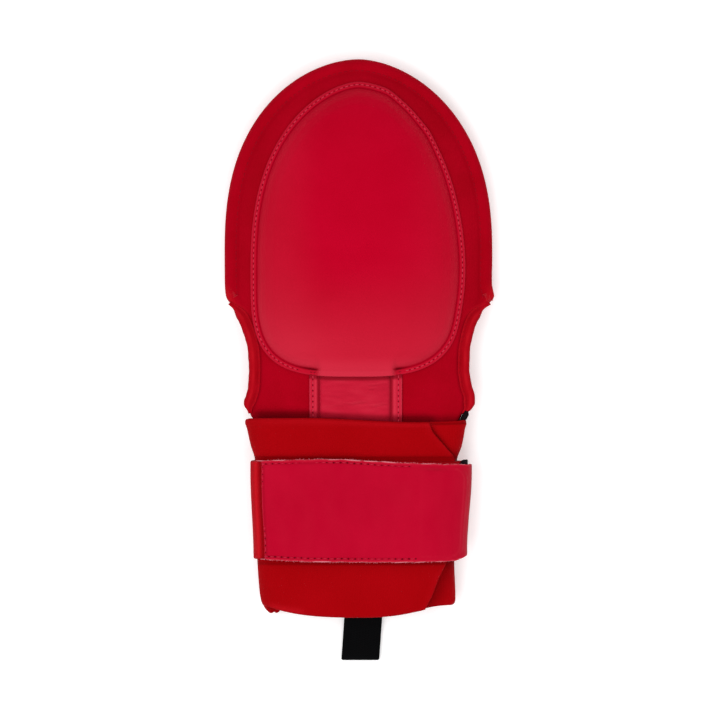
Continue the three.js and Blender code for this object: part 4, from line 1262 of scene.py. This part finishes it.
cuff_waves *= ease(0, 6, from_ends) * (1 - 0.8 * ease(-50, -53, cuff_y) * ease(-104, -101, cuff_y))
cuff_inset = dip_inset + lip - lap_puff - edge_puff - 0.6 * cuff_waves
outside_x, outside_z = cuff_point(cuff_y, cuff_angles, cuff_inset)
inside_x, inside_z = cuff_point(cuff_y, cuff_angles, dip_inset + CUFF_WALL - lip)
on_top = np.clip(np.sin(cuff_angles), 0, None)
end_share = (cuff_y - CUFF_TOP_Y) / (CUFF_END_Y - CUFF_TOP_Y)
bulge_fade = np.where(np.cos(cuff_angles) < 0, BULGE_FADE["left"], BULGE_FADE["right"])
end_bulge = CUFF_END_BULGE * on_top**bulge_fade * ease(0.85, 1, end_share)
ragged = np.exp(-(((plain_x + 45.8) / 3.9) ** 6)) * (4.4 + 0.4 * np.sin(plain_x * 2.1))
ragged *= (np.sin(cuff_angles) < 0) * ease(0.96, 1, end_share)
top_sag = (cuff_rim(plain_x) - CUFF_TOP_Y) * on_top**0.5 * ease(0.1, 0, end_share)
cuff_y_out = cuff_y - end_bulge - ragged + top_sag
cuff_outside = np.stack([outside_x, cuff_y_out, outside_z], -1)
cuff_inside = np.stack([inside_x, cuff_y_out, inside_z], -1)

# Painted on the cuff: shadows beside the rolled edge of its lap and along the strap, shade along its upper
# rim at the right, and a highlight along the rest of that rim and on the lap's roll. Its lower left rim is
# paler.
past_lap = plain_x - lap_x
lap_shadow_width = np.interp(cuff_y, [-130, -104, -52, -32], [13, 9, 4.2, 2.4])
under_side = (cuff_angles < lap_edge - 1e-6) * (cuff_angles > dip_start)
lap_shadow = under_side * ease(lap_shadow_width, 0.35 * lap_shadow_width, past_lap)
lap_shadow *= np.interp(cuff_y, [-108, -100], [0.45, 1.0])
strap_shadow = 0.6 * bump(-50.2, 0.7, cuff_y) + 0.6 * bump(-104.2, 0.8, cuff_y)
rim_shade_line = 0.7 * bump(1.3, 0.5, from_ends) * (cuff_y > -60) * ease(36, 40, plain_x)
rim_glow = 0.5 * bump(1.6, 1.3, from_ends) * (cuff_y < -100)
rim_glow *= ease(-49, -42, plain_x) * ease(-26, -32, plain_x)
rim_sheen = 0.3 * bump(1.8, 1.6, from_ends) * (cuff_y > -60) * on_top * ease(44, 38, plain_x)
cuff = wall_piece("cuff_knit", cuff_outside, cuff_inside, knit, tones={
    "painted_shade": np.maximum(np.maximum(lap_shadow, strap_shadow), rim_shade_line),
    "wear_and_highlight": rim_glow + rim_sheen + 0.25 * lap_puff * (from_lap < 5),
})
dress(cuff, "cuff")

# Wrist gusset: a scrap of black lining, caught in the seam where the shell's edge goes into the cuff.
# It shows at the right corner only, as a fold that stands out a little beside the binding's end.
gusset_cloth = cloth_material(
    "black_lining", (0.004, 0.004, 0.0045), (0.008, 0.008, 0.009), 0.6, 0.08, 0.8, 0.0,
)
# Folded scrap: y, x of its outer face, low edge, high edge
GUSSET_PATH = [
    (-36, 49.8, 10.8, 16.2),
    (-33.2, 51.2, 10.5, 16.8),
    (-32.4, 52.4, 10.5, 17),
    (-31.2, 54.2, 10.5, 17),
    (-29.5, 55.4, 10.5, 17),
    (-28, 56, 10.8, 17),
    (-26.6, 55.8, 11.6, 16.6),
    (-25.6, 55.4, 12.4, 15.8),
]
gusset_y = np.linspace(GUSSET_PATH[0][0], GUSSET_PATH[-1][0], 40)[:, None]
gusset_low = table_value(GUSSET_PATH, gusset_y, 2)
gusset_high = table_value(GUSSET_PATH, gusset_y, 3)
gusset_z = gusset_low + (gusset_high - gusset_low) * np.linspace(0, 1, 12)[None, :]
gusset_inner = side_edge(gusset_y, "right") + 0.15 + 0 * gusset_z
gusset_outer = table_value(GUSSET_PATH, gusset_y, 1) - 0.3 + 0.25 * np.sin(gusset_z * 0.9)
gusset_rows = np.broadcast_to(gusset_y, gusset_z.shape)
gusset = wall_piece(
    "wrist_gusset_lining",
    np.stack([gusset_outer, gusset_rows, gusset_z], -1),
    np.stack([gusset_inner, gusset_rows, gusset_z], -1),
    gusset_cloth,
)
dress(gusset, "wrist_gusset")

# Wrist strap: a bright red elastic loop round the cuff, a black hook patch under its free end, and
# a face of brushed raspberry leather sewn round three sides, with frayed cut edges.
STRAP_Y = -77.0
BAND_GAP = 0.35
BAND_THICKNESS = 2.0
HOOK_THICKNESS = 1.0
FACE_THICKNESS = 1.6
PIECE_GAP = 0.3
FACE_LEFT_X = -47.3
HOOK_LEFT_X = 27.0
FACE_END_ANGLE = math.radians(-5)
HOOK_END_ANGLE = math.radians(-3)
SIDE_SEAM_INSET = 1.7
END_SEAM_INSET = 1.3
SEAM_SUNK = 0.3
# Edges of the strap's face along it: x, top edge y, bottom edge y
STRAP_EDGES = [
    (-57, -51.6, -101.6),
    (-50, -51.5, -102.2),
    (-15, -50.7, -103.3),
    (20, -52.5, -103.4),
    (49, -53.4, -102.9),
    (55.5, -53.5, -100.6),
    (58, -53.7, -98.6),
]
# Rows of the strap's meshes as shares of its width
STRAP_SHARES = np.array([
    0, 0.004, 0.01, 0.02, 0.035, *np.linspace(0.055, 0.945, 52), 0.965, 0.98, 0.99, 0.996, 1,
])


def strap_slant(x, y):
    """The strap lies a little askew, so that both its sides draw in toward its lower edge."""
    low = ease(-58, -102, y)
    return x - 2.3 * low * ease(20, 57, x) + 1.6 * low * ease(-20, -56, x)


def lengths_along(line):
    """Length along a line up to each of its points."""
    return np.append(0, np.cumsum(np.linalg.norm(np.diff(line, axis=0), axis=1)))


def strap_layer(name, angles, rise, thickness, material, edges,
                goes_round=False, edge_radius=None, relief=None, tones_at=None):
    """One layer of the strap, a sheet that follows the cuff's section between the strap's edges."""
    guide_x, guide_z = cuff_point(STRAP_Y, angles, -rise)
    top, bottom = edges(guide_x)
    y = top[None, :] + (bottom - top)[None, :] * STRAP_SHARES[:, None]
    turn = np.broadcast_to(angles[None, :], y.shape)
    from_edge = np.minimum(top[None, :] - y, y - bottom[None, :])
    if not goes_round:
        arc = lengths_along(np.stack([guide_x, guide_z], -1))
        from_edge = np.minimum(from_edge, np.minimum(arc, arc[-1] - arc)[None, :])
    lip = rounding(from_edge, edge_radius or thickness / 2)
    extra = relief(guide_x[None, :], y) if relief else 0
    outer_x, outer_z = cuff_point(STRAP_Y, turn, -(rise + thickness - lip + extra))
    inner_x, inner_z = cuff_point(STRAP_Y, turn, -(rise + np.minimum(lip, thickness / 2)))
    outside = np.stack([strap_slant(outer_x, y), y, outer_z], -1)
    inside = np.stack([strap_slant(inner_x, y), y, inner_z], -1)
    tones = tones_at(outer_x, y, from_edge) if tones_at else None
    return wall_piece(name, outside, inside, material, goes_round, tones=tones)


def band_edges(x):
    """The elastic's woven edges, which wander a little."""
    return -51.7 + 0.3 * np.sin(x / 9), -101.9 + 0.3 * np.sin(x / 7)


def band_tones(x, y, from_edge):
    """Painted highlight along the strap's left side, where the elastic bends round, and painted shade beside
    the face and at the elastic's own edges.
    """
    return {
        "wear_and_highlight": 0.9 * bump(-53.6, 0.9, x),
        "painted_shade": 0.5 * bump(-51.2, 0.8, x) + 0.6 * bump(0, 0.5, from_edge),
    }


def hook_edges(x):
    """The patch's edges; the upper one stands up where it shows beyond the face."""
    return -54.0 + 2.9 * ease(50, 52.5, x), np.full_like(x, -101.0)


elastic = cloth_material(
    "bright_red_elastic", (0.385, 0.001, 0.004), (0.44, 0.0018, 0.007), 0.8, 0.15, 0.75, 0.05,
    cloud_size=14.0, own_map=True, wear_and_highlight=(0.56, 0.006, 0.012),
)
band_angles = np.linspace(0, 2 * math.pi, 241)
band = strap_layer("strap_band_elastic", band_angles, BAND_GAP, BAND_THICKNESS, elastic, band_edges,
                   goes_round=True, tones_at=band_tones)
dress(band, "strap_band")

hook_start = float(cuff_angle(STRAP_Y, HOOK_LEFT_X))
on_band = BAND_GAP + BAND_THICKNESS + PIECE_GAP
hook_angles = np.linspace(hook_start, HOOK_END_ANGLE, 60)
hook = strap_layer("strap_hook_tape", hook_angles, on_band, HOOK_THICKNESS, gusset_cloth, hook_edges)
dress(hook, "strap_hook")

face_start = float(cuff_angle(STRAP_Y, FACE_LEFT_X))
face_left = float(cuff_point(STRAP_Y, face_start, -on_band - FACE_THICKNESS)[0])
over_hook = HOOK_THICKNESS + PIECE_GAP


def face_rise(angles):
    """How high over the cuff the face lies, which climbs over the hook patch."""
    return on_band + over_hook * ease(hook_start + 0.35, hook_start + 0.08, angles)


def face_edges(x):
    """The face's cut edges, which wander a little."""
    wander = 0.08 * np.sin(x * 0.55) + 0.05 * np.sin(x * 1.7 + 1)
    return table_value(STRAP_EDGES, x, 1) + wander, table_value(STRAP_EDGES, x, 2) + 0.8 * wander


def hook_outline(x, y):
    """1 over the round-cornered hook patch that stands out through the face, and 0 beside it."""
    across, up = np.clip(x - 47.5, 0, None), np.clip(y + 61.5, 0, None)
    down = np.clip(-95.0 - y, 0, None)
    return ease(6.6, 5.2, np.sqrt(across**2 + up**2 + down**2)) * ease(26, 33, x)


def sewn_share(x):
    """1 where the face is sewn to the elastic and 0 over its free end."""
    return 1 - ease(24, 28, x)


def face_relief(x, y):
    """Height of the face's seams, dent, patch and waves at places along it."""
    top, bottom = face_edges(x)
    side_seam = bump(SIDE_SEAM_INSET, 0.5, np.minimum(top - y, y - bottom)) * sewn_share(x)
    seam = side_seam + bump(END_SEAM_INSET, 0.5, x - face_left)
    dent = bump(38.5, 5.5, x) * bump(-55.6, 0.9, y)
    waves = 0.3 * ripple(x, y, 0, 20, 21) + 0.08 * ripple(x, y, 0, 6, 22)
    return -0.3 * seam - 0.7 * dent + 0.3 * hook_outline(x, y) + waves


def face_tones(x, y, from_edge):
    """The face is frayed pale at its cut edges and a little mottled, with a painted highlight round its bend
    over the hook patch, and painted shade along its side seams, in its dent and where it turns down at its
    far end.
    """
    broken = 0.6 + 0.5 * ripple(x, from_edge * 0, 0, 2.2, 26)
    seam_shade = bump(SIDE_SEAM_INSET, 0.45, from_edge) * 0.35 * sewn_share(x)
    patch = hook_outline(x, y)
    patch_rim_highlight = 4 * patch * (1 - patch) * ease(30, 36, x)
    mottling = 0.03 * (1 + ripple(x * 1.5, y * 0.6, 0, 9, 27))
    return {
        "wear_and_highlight": (bump(0.1, 0.5, from_edge) + 0.3 * patch_rim_highlight) * broken + mottling,
        "painted_shade": seam_shade + 0.3 * bump(38.5, 6, x) * bump(-55.6, 0.8, y) + 0.4 * ease(55.9, 57.4, x),
    }


strap_leather = leather_material(
    "brushed_leather", (0.43, 0.0008, 0.0175), (0.49, 0.0018, 0.023), 0.62, 0.12, 0.04, 0.12,
)
face_angles = np.linspace(face_start, FACE_END_ANGLE, 150)
face = strap_layer("strap_face_leather", face_angles, face_rise(face_angles), FACE_THICKNESS, strap_leather,
                   face_edges, edge_radius=0.5, relief=face_relief, tones_at=face_tones)
dress(face, "strap_face")


section_angles = np.linspace(face_start, FACE_END_ANGLE, 400)
section_x, section_z = cuff_point(STRAP_Y, section_angles, -(face_rise(section_angles) + FACE_THICKNESS))


def on_face(x, y, lift=0.0):
    """Points on the strap face's upper side."""
    x, y = np.broadcast_arrays(np.asarray(x, float), np.asarray(y, float))
    return np.column_stack([strap_slant(x, y), y, np.interp(x, section_x, section_z) + lift])


seam_x = np.linspace(face_left + END_SEAM_INSET, 27, 120)
top_edge, bottom_edge = face_edges(seam_x)
top_seam, bottom_seam = top_edge - SIDE_SEAM_INSET, bottom_edge + SIDE_SEAM_INSET
FACE_SEAMS = {
    "top": (seam_x, top_seam),
    "bottom": (seam_x, bottom_seam),
    "end": (seam_x[0], np.linspace(top_seam[0], bottom_seam[0], 60)),
}
strap_thread = thread_material("strap_thread", (0.6, 0.022, 0.055))
for number, (name, (x, y)) in enumerate(FACE_SEAMS.items()):
    sew(f"strap_{name}_stitches", on_face(x, y, -SEAM_SUNK), strap_thread, pitch=3.4, length=1.9, radius=0.28,
        seed=31 + number, hole=0.5)

# Fibres that have frayed from the face's cut edges: short fuzz, and here and there a loose end
fibre = thread_material("pale_fibre", (0.82, 0.22, 0.27))
fray_x = np.linspace(face_left + 0.3, 52, 200)
for number, (name, edge_y, inward) in enumerate(zip(("top", "bottom"), face_edges(fray_x), (-0.05, 0.05))):
    sew(f"strap_{name}_fray", on_face(fray_x, edge_y + inward, -0.35), fibre, pitch=0.5, length=1.0,
        radius=0.085, seed=41 + number, stray=1.5, uneven=0.6)
    sew(f"strap_{name}_loose_ends", on_face(fray_x, edge_y + 3 * inward, -0.15), fibre, pitch=9.5, length=6,
        radius=0.2, seed=51 + number, stray=0.06, uneven=0.8)

# Pull tab: black nylon webbing folded on itself, sewn inside the cuff's lower wall, with its fold
# lying on the table.
TAB_WIDTH = 19.6
TAB_THICKNESS = 1.4
TAB_CENTRE_X = 1.6
TAB_LEAN = 0.07
TAB_EDGE_RADIUS = 0.55
# Centre line of the webbing, out along the lower layer and back along the upper: y, z
TAB_PATH = [
    (-116, 4.9), (-127, 4.6), (-134, 2.1), (-142, 0.85), (-154.0, 0.8), (-155.1, 1.3),
    (-155.2, 2.2), (-154.0, 2.7), (-142, 2.75), (-134, 4), (-127, 6.5), (-116, 6.8),
]
# Diagonal cords across the webbing with finer picks between them
CORD_SLANT = {"X": 2.6, "Y": 3.6}
PICK_PITCH = 2.1
webbing, webbing_tree, webbing_shader = new_material("black_webbing")
webbing_axes = add_node(webbing_tree, "ShaderNodeSeparateXYZ", {0: cloth_map(webbing_tree)}).outputs
cord_parts = [
    math_node(webbing_tree, "MULTIPLY", webbing_axes[axis], slant) for axis, slant in CORD_SLANT.items()
]
cords = ridges(webbing_tree, math_node(webbing_tree, "ADD", *cord_parts), 1.0)
picks = ridges(webbing_tree, webbing_axes["X"], PICK_PITCH)
webbing_shade = blend(webbing_tree, cords, (0.0008, 0.0008, 0.001, 1), (0.003, 0.003, 0.0035, 1))
fill(webbing_tree, webbing_shader, {
    "Base Color": tinted(webbing_tree, webbing_shade, "wear_and_highlight", (0.009, 0.009, 0.01)),
    "Normal": relief_normal(webbing_tree, math_node(webbing_tree, "ADD", cords, picks), 0.18, 0.7),
    "Roughness": 0.7,
    "Specular IOR Level": 0.03,
})

tab_line = np.array(TAB_PATH)
tab_steps = lengths_along(tab_line)
tab_at = np.linspace(0, tab_steps[-1], 160)
tab_y, tab_z = (np.interp(tab_at, tab_steps, tab_line[:, axis]) for axis in range(2))
for level in (tab_y, tab_z):
    level[4:-4] = np.convolve(level, np.ones(9) / 9, "valid")
tab_along = np.stack([np.gradient(tab_y), np.gradient(tab_z)], -1)
tab_along /= np.linalg.norm(tab_along, axis=1)[:, None]
tab_across = np.linspace(-0.5, 0.5, 30)[None, :]
tab_half = TAB_THICKNESS / 2 - rounding(TAB_WIDTH * (0.5 - np.abs(tab_across)), TAB_EDGE_RADIUS)


def tab_face(side):
    """The outer or the inner face of the webbing, for side 1 or -1, kept off the table."""
    y = tab_y[:, None] + side * tab_half * tab_along[:, 1:]
    z = tab_z[:, None] - side * tab_half * tab_along[:, :1]
    x = TAB_CENTRE_X + tab_across * TAB_WIDTH + TAB_LEAN * (tab_y[:, None] + 134)
    return np.stack([np.broadcast_to(x, y.shape), y, np.maximum(z, 0.02)], -1)


# Below the line where it is creased, the tab is a little paler, with a painted highlight along that line
TAB_CREASE_Y = -146.3
tab_pale_and_highlight = 0.55 * ease(TAB_CREASE_Y, TAB_CREASE_Y - 0.8, tab_y) + 0.6 * bump(TAB_CREASE_Y, 0.35, tab_y)
tab_tones = {"wear_and_highlight": tab_pale_and_highlight[:, None]}
pull_tab = wall_piece("pull_tab_webbing", tab_face(1), tab_face(-1), webbing, tones=tab_tones)
dress(pull_tab, "pull_tab")
